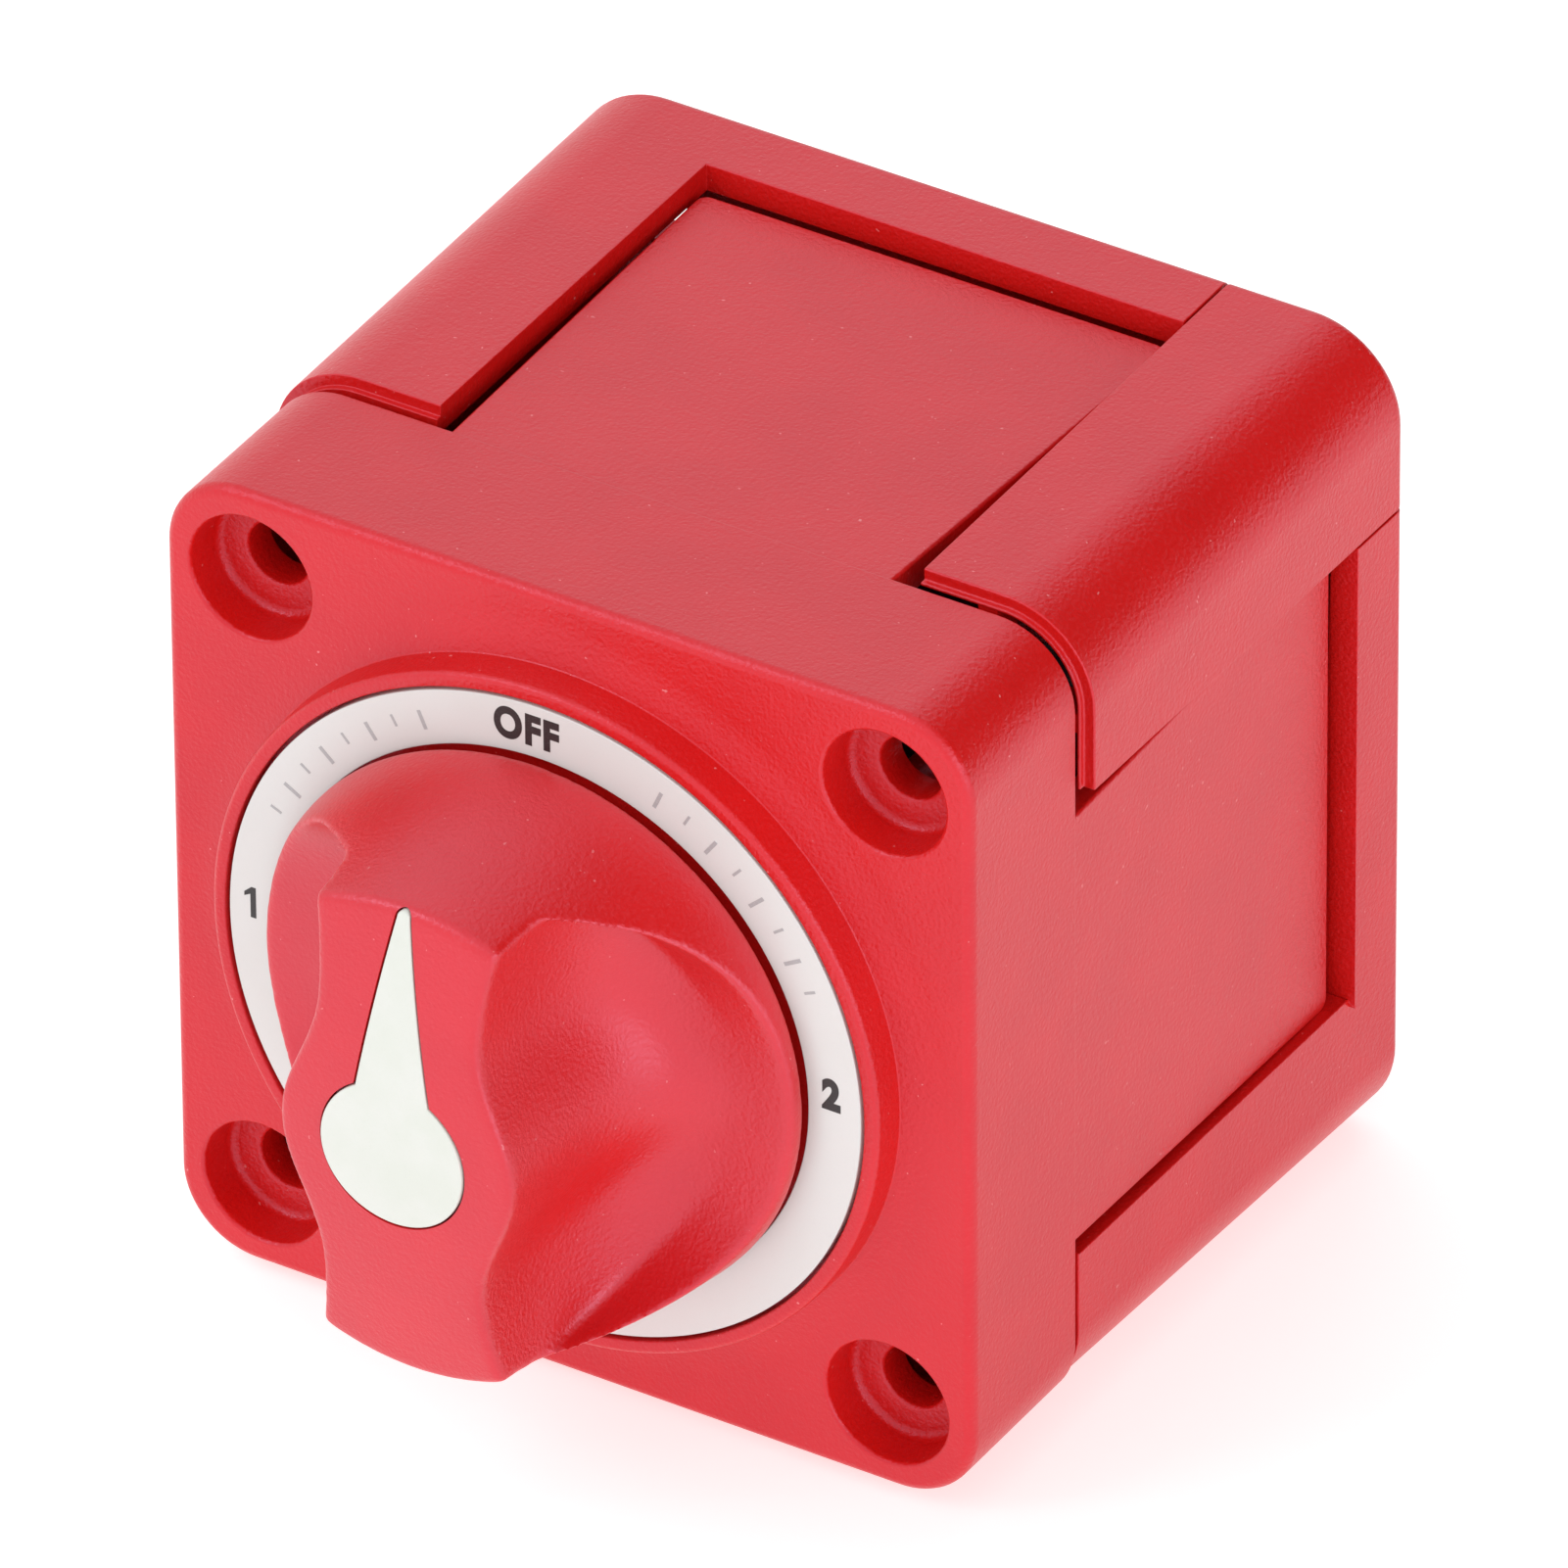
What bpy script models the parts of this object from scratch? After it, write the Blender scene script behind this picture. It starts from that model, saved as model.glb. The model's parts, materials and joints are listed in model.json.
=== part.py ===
"""Battery switch: a surface-mounted rotary selector with the positions off, 1 and 2.

The front of the switch faces -Y and +Z is up. Every piece is modelled in a frame whose origin
is the centre of the flat front face, with y growing into the case, and all of them hang on one
empty that puts the world origin at the centre of the rear mounting face.
"""

import math

import bmesh
import bpy
from mathutils import Matrix, Vector

MM = 0.001

# Clearances
GAP = 0.3 * MM                  # between neighbouring pieces that touch on the real switch
OVERLAP = 0.5 * MM              # how far a joined feature is sunk into what carries it

# Front case: collar, front wall and the four side panels moulded onto it
case_width = 69.0 * MM
case_corner = 6.5 * MM
case_edge = 1.0 * MM            # rounding of the front edge
collar_depth = 14.8 * MM
side_wall = 2.5 * MM
front_wall = 3.0 * MM
panel_wall = 2.3 * MM
panel_step = 0.1 * MM           # panel lies this much under the collar at the seam
panel_sink = 0.4 * MM           # and this much further at its rear end
panel_seam_front = 1.8 * MM      # gap between a panel and the post beside it, at the collar
panel_seam_rear = 0.5 * MM      # and at the panel's rear end
panel_gap_rear = 1.5 * MM       # gap between a panel and the rear rim
panel_corner = 1.0 * MM

# Mounting holes
mount_inset = 7.4 * MM          # from the case's side to the middle of a hole
mount_hole = 2.6 * MM           # radius
mount_bore = 5.2 * MM           # counterbore radius
mount_bore_depth = 3.8 * MM
mount_floor = 3.0 * MM          # material left under the counterbore
mount_boss_wall = 1.8 * MM

# Bezel and dial label
bezel_radius = 28.75 * MM
bezel_rise = 3.65 * MM
bezel_rim = 1.25 * MM
bezel_edge = 0.25 * MM
dial_thickness = 1.1 * MM
dial_sink = 0.1 * MM            # dial surface under the rim
dial_inner = 12.0 * MM          # radius

# Knob
knob_radius = 22.85 * MM
knob_skirt = 1.1 * MM           # height of the straight edge
knob_lift = 0.55 * MM           # knob underside over the dial
knob_height = 24.55 * MM        # top of the grip over the front face
knob_crown_drop = 2.4 * MM      # how much lower the ends of the grip lie
knob_taper = 2.4 * MM           # how much slimmer the knob is at its shoulder
knob_edge = 0.9 * MM
knob_bevel = 0.2 * MM           # small bevels of the knob's underside and shoulder
scoop_floor = 5.9 * MM          # lowest point of a finger scoop over the front face
scoop_inset = 1.35 * MM         # from the knob's rim to the deepest point of a scoop
scoop_margin = 0.65 * MM        # from the shoulder's rim to the end of a scoop
scoop_outside = 9.0 * MM        # how far the cutter of a scoop stands outside the knob
scoop_above = 2.0 * MM          # and above the grip's face
scoop_power = 3.4               # how square the bowl of a scoop is
grip_belly = 10.0 * MM          # half-width of the grip at the pointer's round end
grip_waist = 6.9 * MM           # half-width at the two waists
grip_end = 8.0 * MM             # half-width at the ends
grip_waist_place = 11.5 * MM
grip_hollow_half = 3.6 * MM
grip_hollow_margin = 4.45 * MM  # from the shoulder's rim to the end of a hollow
grip_hollow_inset = 1.5 * MM    # from the spindle to the start of a hollow
grip_roof = 3.5 * MM            # plastic between the hollow and the grip's face

# Pointer insert
pointer_radius = 6.05 * MM
pointer_margin = 0.15 * MM      # from the shoulder's rim to the tip
pointer_root_half = 3.1 * MM
pointer_tip_half = 0.55 * MM
pointer_thickness = 1.0 * MM
pointer_gap = 0.2 * MM

# Spindle, its seal and its clip
spindle_radius = 6.0 * MM
spindle_square = 4.0 * MM       # half-width of the squared ends
spindle_bite = 3.7 * MM         # how far the rear end goes into the rotor
hub_wall = 3.2 * MM
hub_rear = 9.0 * MM
groove_depth = 1.3 * MM         # of the grooves for the seal and the clip
seal_place = 3.1 * MM
seal_groove = 2.2 * MM
clip_thickness = 0.6 * MM
clip_overhang = 2.6 * MM        # how far the clip stands out of the spindle
clip_mouth = math.radians(32.0)
clip_groove = 1.1 * MM
knob_screw_radius = 1.65 * MM
knob_screw_head = 3.6 * MM
knob_screw_head_height = 2.4 * MM
knob_screw_length = 12.0 * MM
knob_screw_web = 3.45 * MM      # plastic between the screw's head and the spindle
knob_screw_slot = 2.2 * MM      # half-length of the cross recess
knob_screw_slot_depth = 1.2 * MM
knob_screw_slot_half = 0.45 * MM
screw_edge = 0.5 * MM           # bevel of screw heads and tips

# Rotor chamber, rotor and detents
chamber_radius = 22.5 * MM
chamber_wall = 3.5 * MM
chamber_roof = 0.3 * MM         # where the chamber starts, measured into the case
rotor_clearance = 1.5 * MM      # between rotor and chamber wall
rotor_room = 2.5 * MM           # between hub and rotor
rotor_thickness = 8.5 * MM
rotor_edge = 0.5 * MM
socket_web = 0.7 * MM           # plastic between the square socket and the spring pocket
stop_lip = 0.5 * MM             # from the rotor's rim to its lug
stop_width = 3.5 * MM
stop_half_angle = math.radians(6.0)
stop_travel = math.radians(90.0)
ball_radius = 2.0 * MM
ball_pocket_depth = 9.5 * MM
detent_angle = math.radians(45.0)
detent_depth = 1.0 * MM
detent_play = 0.2 * MM          # radius of a notch over the ball's
detent_wire = 0.28 * MM
detent_coil = 1.35 * MM
detent_turns = 5

# Contacts
contact_thickness = 1.5 * MM
contact_hub = 8.0 * MM
contact_arm_half = 2.4 * MM
contact_clearance = 3.2 * MM    # from the end of an arm to the chamber wall
contact_skin = 0.02 * MM        # each arm is this much thinner than the one before it
contact_gap = 0.5 * MM          # between rotor and moving contact
contact_wire = 0.35 * MM
contact_coil = 4.6 * MM
contact_turns = 3
spring_pocket = 6.3 * MM

# Base, gasket and case screws
gasket_thickness = 1.0 * MM
base_floor_thickness = 7.0 * MM
lug_radius = 4.0 * MM
lug_thickness = 4.0 * MM
post_clearance = 0.55 * MM      # between a screw post and the base's wall
post_angle = math.radians(38.0)
post_radius = 3.0 * MM
case_screw_radius = 1.2 * MM
case_screw_head = 2.6 * MM
case_screw_head_height = 2.0 * MM
case_screw_point = 1.2 * MM
case_screw_slot = 1.6 * MM
case_screw_slot_depth = 1.1 * MM
case_screw_slot_half = 0.35 * MM
case_screw_bite = 12.0 * MM     # how far a screw runs into its post
barrier_half = 1.1 * MM
barrier_short = 2.0 * MM        # how much lower a barrier is than the studs
barrier_inset = 0.6 * MM        # from the base's rim to the end of a barrier
barrier_skin = 0.05 * MM        # each barrier is this much higher than the one before it

# Terminals
stud_radius = 5.0 * MM
stud_chamfer = 1.0 * MM
stud_proud = 5.3 * MM           # thread that shows behind the nut
stud_flange_rim = 1.6 * MM      # flange over the thread
stud_flange_thickness = 1.5 * MM
stud_clearance = 0.4 * MM       # between flange and chamber wall
stud_pad_height = 0.9 * MM
flat_washer_rim = 5.0 * MM
flat_washer_thickness = 1.8 * MM
lock_washer_rim = 3.6 * MM
lock_washer_thickness = 2.0 * MM
lock_washer_slit = 1.4 * MM
nut_wall = 3.0 * MM
nut_height = 8.0 * MM

# Rear cover and the loose corner cover
body_depth = 60.0 * MM
cover_step = 0.7 * MM           # posts stand this much over the collar at their front end
cover_flare = 0.4 * MM          # and this much more at the rear
cover_corner_extra = 1.1 * MM   # corner radius over the collar's
cover_wall = 2.4 * MM
cover_floor = 3.0 * MM
cover_edge = 0.9 * MM
cover_seam = 0.9 * MM           # open line between collar and posts
rim_depth = 6.6 * MM
post_reach = 13.8 * MM          # from the case's side to the edge of a post
tongue_wall = 1.4 * MM
tongue_reach = 2.2 * MM         # how far a tongue goes into the collar
tongue_inset = 0.3 * MM         # how much slimmer a tongue is than the rib it stands on
rib_depth = 2.6 * MM
rib_length = 5.0 * MM
rib_start = 1.0 * MM            # from the edge of a post to its rib
rib_setback = 0.4 * MM          # from the front end of a post to its rib
rib_bite = 1.2 * MM             # how far a rib runs into the post's wall

TERMINAL_ANGLES = {
    "1": math.radians(150.0),
    "2": math.radians(30.0),
    "common": math.radians(270.0),
}
CORNERS = ((1, 1), (-1, 1), (-1, -1), (1, -1))

CUT = 1.0 * MM                  # how far a cutter stands out of what it cuts

# Heights of the rings that a finger scoop is lofted through, from its mouth to its floor
SCOOP_LEVELS = (0.0, 0.4, 0.62, 0.78, 0.88, 0.95, 0.985, 1.0)
SCOOP_FLOOR_SIZE = 0.06         # size of the last ring

# Sides of a round form, by how large it is
LARGE = 64
MEDIUM = 48
SMALL = 24
TINY = 12

# Values that follow from the sizes above
case_half = case_width / 2
mount_half = case_half - mount_inset
window_half = case_half - post_reach
panel_front_half = window_half - panel_seam_front
panel_rear_half = window_half - panel_seam_rear
dial_floor = -(bezel_rise - dial_sink - dial_thickness - GAP)
dial_face = -(bezel_rise - dial_sink)
dial_radius = bezel_radius - bezel_rim - GAP
knob_under = dial_face - knob_lift
knob_shoulder_radius = knob_radius - knob_taper
scoop_centre = knob_radius - scoop_inset
scoop_reach = knob_shoulder_radius - scoop_margin
pointer_tip = knob_shoulder_radius - pointer_margin
knob_screw_ledge = -(knob_height - pointer_thickness - 3 * GAP - knob_screw_head_height)
spindle_front = -knob_screw_ledge - knob_screw_web - GAP
groove_floor = spindle_radius - groove_depth
seal_section = (groove_depth + GAP) / 2 - GAP
clip_radius = spindle_radius + clip_overhang
rotor_radius = chamber_radius - rotor_clearance
rotor_front = hub_rear + rotor_room
rotor_rear = rotor_front + rotor_thickness
rotor_middle = (rotor_front + rotor_rear) / 2
spindle_rear = rotor_front + spindle_bite
socket_rear = spindle_rear + GAP
pocket_front = socket_rear + socket_web
stop_outer = rotor_radius - stop_lip
stop_inner = stop_outer - stop_width
ball_reach = chamber_radius - GAP
ball_pocket_start = rotor_radius - ball_pocket_depth
contact_front = rotor_rear + contact_gap
contact_rear = contact_front + contact_thickness
contact_reach = chamber_radius - contact_clearance
gasket_front = hub_rear + GAP
base_front = gasket_front + gasket_thickness + GAP
base_floor_front = contact_rear + stud_pad_height + stud_flange_thickness + 2 * GAP
base_rear = base_floor_front + base_floor_thickness
base_radius = chamber_radius + chamber_wall
post_circle = base_radius + post_clearance + post_radius
post_x = post_circle * math.cos(post_angle)
post_z = post_circle * math.sin(post_angle)
post_rear = base_floor_front - GAP
stud_flange = stud_radius + stud_flange_rim
stud_circle = chamber_radius - stud_flange - stud_clearance
flat_washer_radius = stud_radius + flat_washer_rim
lock_washer_radius = stud_radius + lock_washer_rim
nut_corner = 2 * (stud_radius + nut_wall) / math.sqrt(3)
flat_washer_front = base_rear + GAP
lock_washer_front = flat_washer_front + flat_washer_thickness + GAP
nut_front = lock_washer_front + lock_washer_thickness + GAP
stud_rear = nut_front + nut_height + stud_proud
barrier_rear = stud_rear - barrier_short
cover_front = collar_depth + cover_seam
cover_front_half = case_half + cover_step
cover_rear_half = cover_front_half + cover_flare
cover_corner = case_corner + cover_corner_extra
tongue_front = collar_depth - tongue_reach
rim_front = body_depth - rim_depth
panel_rear = rim_front - panel_gap_rear


# ---------------------------------------------------------------- helpers

def clear_scene():
    for item in list(bpy.data.objects):
        bpy.data.objects.remove(item, do_unlink=True)


def plastic(name, colour, roughness):
    return finish(name, colour, roughness, 0.0)


def finish(name, colour, roughness, metallic):
    material = bpy.data.materials.new(name)
    material.use_nodes = True
    shader = material.node_tree.nodes["Principled BSDF"]
    shader.inputs["Base Color"].default_value = (*colour, 1.0)
    shader.inputs["Roughness"].default_value = roughness
    shader.inputs["Metallic"].default_value = metallic
    return material


def add_object(name, bm, material=None):
    """Turns a bmesh into an object that hangs on the switch's origin."""
    bmesh.ops.recalc_face_normals(bm, faces=bm.faces)
    mesh = bpy.data.meshes.new(name)
    bm.to_mesh(mesh)
    bm.free()
    if material is not None:
        mesh.materials.append(material)
    item = bpy.data.objects.new(name, mesh)
    bpy.context.collection.objects.link(item)
    item.parent = origin
    return item


def add_curve(name, points, wire, sides_level, material):
    """A round wire through the points, with closed ends."""
    curve = bpy.data.curves.new(name, "CURVE")
    curve.dimensions = "3D"
    curve.bevel_depth = wire
    curve.bevel_resolution = sides_level
    curve.use_fill_caps = True
    spline = curve.splines.new("POLY")
    spline.points.add(len(points) - 1)
    for target, point in zip(spline.points, points):
        target.co = (*point, 1.0)
    curve.materials.append(material)
    item = bpy.data.objects.new(name, curve)
    bpy.context.collection.objects.link(item)
    item.parent = origin
    return item


def shade(item, angle=35.0):
    item.data.shade_smooth()
    item.data.set_sharp_from_angle(angle=math.radians(angle))


def helper(item):
    item.hide_render = True
    item.display_type = "WIRE"
    return item


def combine(target, tool, operation):
    helper(tool)
    modifier = target.modifiers.new(tool.name, "BOOLEAN")
    modifier.operation = operation
    modifier.solver = "EXACT"
    modifier.object = tool


def cut(target, tool):
    combine(target, tool, "DIFFERENCE")


def join(target, tool):
    combine(target, tool, "UNION")


def loft(rings):
    """A closed body through rings of equal length, with a flat face at both ends."""
    bm = bmesh.new()
    rows = [[bm.verts.new(point) for point in ring] for ring in rings]
    for row, following in zip(rows, rows[1:]):
        for k in range(len(row)):
            m = (k + 1) % len(row)
            bm.faces.new((row[k], row[m], following[m], following[k]))
    bm.faces.new(rows[0])
    bm.faces.new(rows[-1])
    return bm


def ring_at(outline, y):
    return [(x, y, z) for x, z in outline]


def prism(outline, y0, y1, rear_outline=None):
    return loft([ring_at(outline, y0), ring_at(rear_outline or outline, y1)])


def circle(radius, count, x=0.0, z=0.0, turn=0.0):
    steps = [turn + 2 * math.pi * k / count for k in range(count)]
    return [(x + radius * math.cos(a), z + radius * math.sin(a)) for a in steps]


def rounded_square(half, radius, count=6):
    points = []
    for start, (sx, sz) in zip((0, 90, 180, 270), CORNERS):
        for k in range(count + 1):
            a = math.radians(start + 90 * k / count)
            x = sx * (half - radius) + radius * math.cos(a)
            z = sz * (half - radius) + radius * math.sin(a)
            points.append((x, z))
    return points


def sector(inner, outer, start, end, count=6):
    """Outline of a piece of a ring between two angles."""
    steps = [start + (end - start) * k / count for k in range(count + 1)]
    outside = [(outer * math.cos(a), outer * math.sin(a)) for a in steps]
    inside = [(inner * math.cos(a), inner * math.sin(a)) for a in reversed(steps)]
    return outside + inside


def turned(profile, count):
    """A body turned around the y axis from a closed profile of (radius, y) points."""
    bm = bmesh.new()
    verts = [bm.verts.new((r, y, 0.0)) for r, y in profile]
    edges = []
    on_axis = [r < 1e-9 for r, y in profile]
    for k in range(len(verts)):
        m = (k + 1) % len(verts)
        if not (on_axis[k] and on_axis[m]):
            edges.append(bm.edges.new((verts[k], verts[m])))
    bmesh.ops.spin(bm, geom=verts + edges, cent=(0, 0, 0), axis=(0, 1, 0),
                   angle=2 * math.pi, steps=count, use_merge=True)
    bmesh.ops.remove_doubles(bm, verts=bm.verts, dist=1e-6)
    return bm


def moved(bm, x=0.0, y=0.0, z=0.0):
    bmesh.ops.translate(bm, verts=bm.verts, vec=(x, y, z))
    return bm


def rotated(bm, angle):
    """Turned around the switch's axis, anticlockwise as the front is seen."""
    bmesh.ops.rotate(bm, verts=bm.verts, cent=(0, 0, 0), matrix=Matrix.Rotation(-angle, 3, "Y"))
    return bm


def box(x0, x1, y0, y1, z0, z1):
    bm = bmesh.new()
    bmesh.ops.create_cube(bm, size=1.0)
    bmesh.ops.scale(bm, verts=bm.verts, vec=(x1 - x0, y1 - y0, z1 - z0))
    return moved(bm, (x0 + x1) / 2, (y0 + y1) / 2, (z0 + z1) / 2)


def disc(radius, y0, y1, count, x=0.0, z=0.0):
    return prism(circle(radius, count, x, z), y0, y1)


def tube(inner, outer, y0, y1, count):
    return turned([(inner, y0), (outer, y0), (outer, y1), (inner, y1)], count)


def round_edges(bm, y, width, count):
    """Rounds the edges that lie in the plane y."""
    flat = [e for e in bm.edges if all(abs(v.co.y - y) < 1e-7 for v in e.verts)]
    bmesh.ops.bevel(bm, geom=flat, offset=width, segments=count, profile=0.5,
                    affect="EDGES", clamp_overlap=False)
    return bm


# ---------------------------------------------------------------- front case

def side_panel(name, quarter):
    """One side panel: a plate that tapers in width towards the collar."""
    y0 = collar_depth - 2 * OVERLAP
    y1 = panel_rear
    top0 = case_half - panel_step
    top1 = top0 - panel_sink
    front = [(-panel_front_half, top0), (panel_front_half, top0),
             (panel_front_half, top0 - panel_wall), (-panel_front_half, top0 - panel_wall)]
    rear = [(-panel_rear_half, top1), (panel_rear_half, top1),
            (panel_rear_half, top1 - panel_wall), (-panel_rear_half, top1 - panel_wall)]
    bm = prism(front, y0, y1, rear)
    upright = [e for e in bm.edges
               if all(abs(v.co.y - y1) < 1e-7 for v in e.verts)
               and abs(e.verts[0].co.x - e.verts[1].co.x) < 1e-7]
    bmesh.ops.bevel(bm, geom=upright, offset=panel_corner, segments=3, profile=0.5,
                    affect="EDGES", clamp_overlap=False)
    return add_object(name, rotated(bm, quarter * math.pi / 2))


def front_case(material):
    outline = rounded_square(case_half, case_corner)
    shell = prism(outline, 0.0, collar_depth)
    round_edges(shell, 0.0, case_edge, 3)
    case = add_object("front_case", shell, material)

    bezel = prism(circle(bezel_radius, LARGE), -bezel_rise, OVERLAP)
    round_edges(bezel, -bezel_rise, bezel_edge, 1)
    join(case, add_object("case_bezel", bezel))

    hollow = rounded_square(case_half - side_wall, case_corner - side_wall)
    cut(case, add_object("case_hollow", prism(hollow, front_wall, collar_depth + OVERLAP)))
    join(case, add_object("case_chamber", disc(base_radius, front_wall - OVERLAP, hub_rear,
                                               MEDIUM)))
    boss_rear = mount_bore_depth + mount_floor
    for k, (sx, sz) in enumerate(CORNERS):
        x, z = sx * mount_half, sz * mount_half
        boss = disc(mount_bore + mount_boss_wall, front_wall - OVERLAP, boss_rear, SMALL, x, z)
        join(case, add_object(f"case_boss_{k}", boss))
    for k, (sx, sz) in enumerate(CORNERS):
        post = disc(post_radius, front_wall - OVERLAP, post_rear, TINY, sx * post_x, sz * post_z)
        join(case, add_object(f"case_post_{k}", post))
    for k in range(4):
        join(case, side_panel(f"case_panel_{k}", k))

    cut(case, add_object("case_dial_seat", disc(bezel_radius - bezel_rim,
                                                -bezel_rise - OVERLAP, dial_floor, LARGE)))
    cut(case, add_object("case_rotor_room", tube(spindle_radius + GAP + hub_wall, chamber_radius,
                                                 chamber_roof, hub_rear + OVERLAP, MEDIUM)))
    cut(case, add_object("case_bore", disc(spindle_radius + GAP, dial_floor - OVERLAP,
                                           hub_rear + OVERLAP, SMALL)))
    for k, (sx, sz) in enumerate(CORNERS):
        x, z = sx * mount_half, sz * mount_half
        hole = turned([(0.0, -OVERLAP), (mount_bore, -OVERLAP), (mount_bore, mount_bore_depth),
                       (mount_hole, mount_bore_depth), (mount_hole, boss_rear + OVERLAP),
                       (0.0, boss_rear + OVERLAP)], SMALL)
        cut(case, add_object(f"case_mount_hole_{k}", moved(hole, x=x, z=z)))
        pilot = disc(case_screw_radius + GAP, base_floor_front - case_screw_bite - GAP,
                     post_rear + OVERLAP, TINY, sx * post_x, sz * post_z)
        cut(case, add_object(f"case_pilot_{k}", pilot))

    # Two stops on the chamber's roof, where the rotor's lug ends its travel
    clear_angle = GAP / stop_inner
    for name, side in (("left", 1), ("right", -1)):
        start = math.pi / 2 + side * (stop_travel + stop_half_angle + clear_angle)
        end = start + side * 2 * stop_half_angle
        stop = sector(stop_inner, chamber_radius + OVERLAP, start, end)
        join(case, add_object(f"case_stop_{name}", prism(stop, chamber_roof - OVERLAP,
                                                         hub_rear + GAP - OVERLAP)))
    shade(case)
    return case


def dial_label(material):
    label = add_object("dial_label", tube(dial_inner, dial_radius, dial_face,
                                          dial_face + dial_thickness, LARGE), material)
    shade(label)
    return label


# ---------------------------------------------------------------- knob

def crown(z):
    """How far the grip's face lies in front of the case, at the height z."""
    return -(knob_height - knob_crown_drop * (z / knob_shoulder_radius) ** 2)


def grip_half(z):
    """Half-width of the grip's face at the height z: a belly, two waists and wide ends."""
    reach = abs(z)
    if reach < grip_waist_place:
        wave = 0.5 + 0.5 * math.cos(math.pi * reach / grip_waist_place)
        return grip_waist + (grip_belly - grip_waist) * wave
    share = (reach - grip_waist_place) / (scoop_reach - grip_waist_place)
    return grip_waist + (grip_end - grip_waist) * share ** 2


def scoop_mouth(count=10):
    """Outline of one scoop, level with the grip's face."""
    steps = [scoop_reach * math.sin(math.pi / 2 * k / count) for k in range(-count, count + 1)]
    wall = [(grip_half(z), z) for z in steps]
    outer = knob_radius + scoop_outside
    return wall + [(outer, scoop_reach), (outer, scoop_reach / 3), (outer, -scoop_reach / 3),
                   (outer, -scoop_reach)]


def scoop(name, side):
    """A bowl whose mouth shrinks towards its deepest point."""
    mouth = scoop_mouth()
    top = -(knob_height + scoop_above)
    floor = -scoop_floor
    rings = []
    for level in SCOOP_LEVELS:
        size = max((1.0 - level ** scoop_power) ** (1.0 / scoop_power), SCOOP_FLOOR_SIZE)
        y = top + (floor - top) * level
        rings.append([(side * (scoop_centre + (x - scoop_centre) * size), y, z * size)
                      for x, z in mouth])
    return add_object(name, loft(rings))


def knob(material):
    shoulder = -(knob_height - knob_crown_drop)
    dome_count = 6
    profile = [(0.0, knob_under), (knob_radius - knob_bevel, knob_under),
               (knob_radius, knob_under - knob_bevel), (knob_radius, knob_under - knob_skirt),
               (knob_shoulder_radius + knob_bevel, shoulder + knob_edge),
               (knob_shoulder_radius - knob_bevel, shoulder + knob_bevel)]
    for k in range(dome_count + 1):
        r = (knob_shoulder_radius - knob_edge) * (1 - k / dome_count)
        profile.append((r, crown(r)))
    body = add_object("knob", turned(profile, LARGE), material)
    cut(body, scoop("knob_scoop_right", 1))
    cut(body, scoop("knob_scoop_left", -1))

    # Hollows under the grip, one each side of the hub
    hollow_start = spindle_radius + grip_hollow_inset
    hollow_end = knob_shoulder_radius - grip_hollow_margin
    roof = -(knob_height - knob_crown_drop - grip_roof)
    for name, side in (("upper", 1), ("lower", -1)):
        z0, z1 = sorted((side * hollow_start, side * hollow_end))
        pocket = box(-grip_hollow_half, grip_hollow_half, roof, knob_under + OVERLAP, z0, z1)
        cut(body, add_object(f"knob_hollow_{name}", pocket))

    square = spindle_square + GAP
    socket = box(-square, square, -(spindle_front + GAP), knob_under + OVERLAP, -square, square)
    cut(body, add_object("knob_socket", socket))
    head = knob_screw_head + GAP
    shank = knob_screw_radius + GAP
    well = turned([(0.0, -knob_height - OVERLAP), (head, -knob_height - OVERLAP),
                   (head, knob_screw_ledge), (shank, knob_screw_ledge),
                   (shank, -spindle_front), (0.0, -spindle_front)], SMALL)
    cut(body, add_object("knob_screw_well", well))
    cut(body, pointer_body("knob_pointer_seat", None, pointer_gap, -OVERLAP,
                           pointer_thickness + GAP))
    shade(body, 28.0)
    return body


def pointer_outline(grow):
    """A round end on the axis with a tapered pointer that runs up to a blunt tip."""
    radius = pointer_radius + grow
    root = pointer_root_half + grow
    tip = pointer_tip_half + grow
    start = math.acos(root / radius)
    points = []
    count = SMALL
    for k in range(count + 1):
        a = start - (math.pi + 2 * start) * k / count
        points.append((radius * math.cos(a), radius * math.sin(a)))
    tip_z = pointer_tip + grow - tip
    for k in range(7):
        a = math.pi - math.pi * k / 6
        points.append((tip * math.cos(a), tip_z + tip * math.sin(a)))
    return points


def pointer_body(name, material, grow, front, depth):
    """The pointer's outline between two depths under the crowned face of the grip."""
    bm = prism(pointer_outline(grow), 0.0, MM)
    count = 6
    for k in range(-1, count):
        z = pointer_tip * k / count
        geometry = bm.verts[:] + bm.edges[:] + bm.faces[:]
        bmesh.ops.bisect_plane(bm, geom=geometry, plane_co=(0, 0, z), plane_no=(0, 0, 1))
    for vert in bm.verts:
        offset = front if vert.co.y < MM / 2 else depth
        vert.co.y = crown(vert.co.z) + offset
    return add_object(name, bm, material)


def knob_screw(material):
    seat = knob_screw_ledge - GAP
    head_front = seat - knob_screw_head_height
    profile = [(0.0, head_front), (knob_screw_head - screw_edge, head_front),
               (knob_screw_head, head_front + screw_edge), (knob_screw_head, seat),
               (knob_screw_radius, seat), (knob_screw_radius, seat + knob_screw_length),
               (0.0, seat + knob_screw_length)]
    screw = add_object("knob_screw", turned(profile, SMALL), material)
    cross_recess(screw, 0.0, 0.0, head_front - OVERLAP, head_front + knob_screw_slot_depth,
                 knob_screw_slot, knob_screw_slot_half)
    shade(screw)
    return screw


def cross_recess(screw, x, z, y0, y1, reach, half):
    """A cross recess in a screw head, between the planes y0 and y1."""
    for part, wide, high in (("a", reach, half), ("b", half, reach)):
        slot = box(x - wide, x + wide, y0, y1, z - high, z + high)
        cut(screw, add_object(f"{screw.name}_slot_{part}", slot))


# ---------------------------------------------------------------- spindle and rotor

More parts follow.
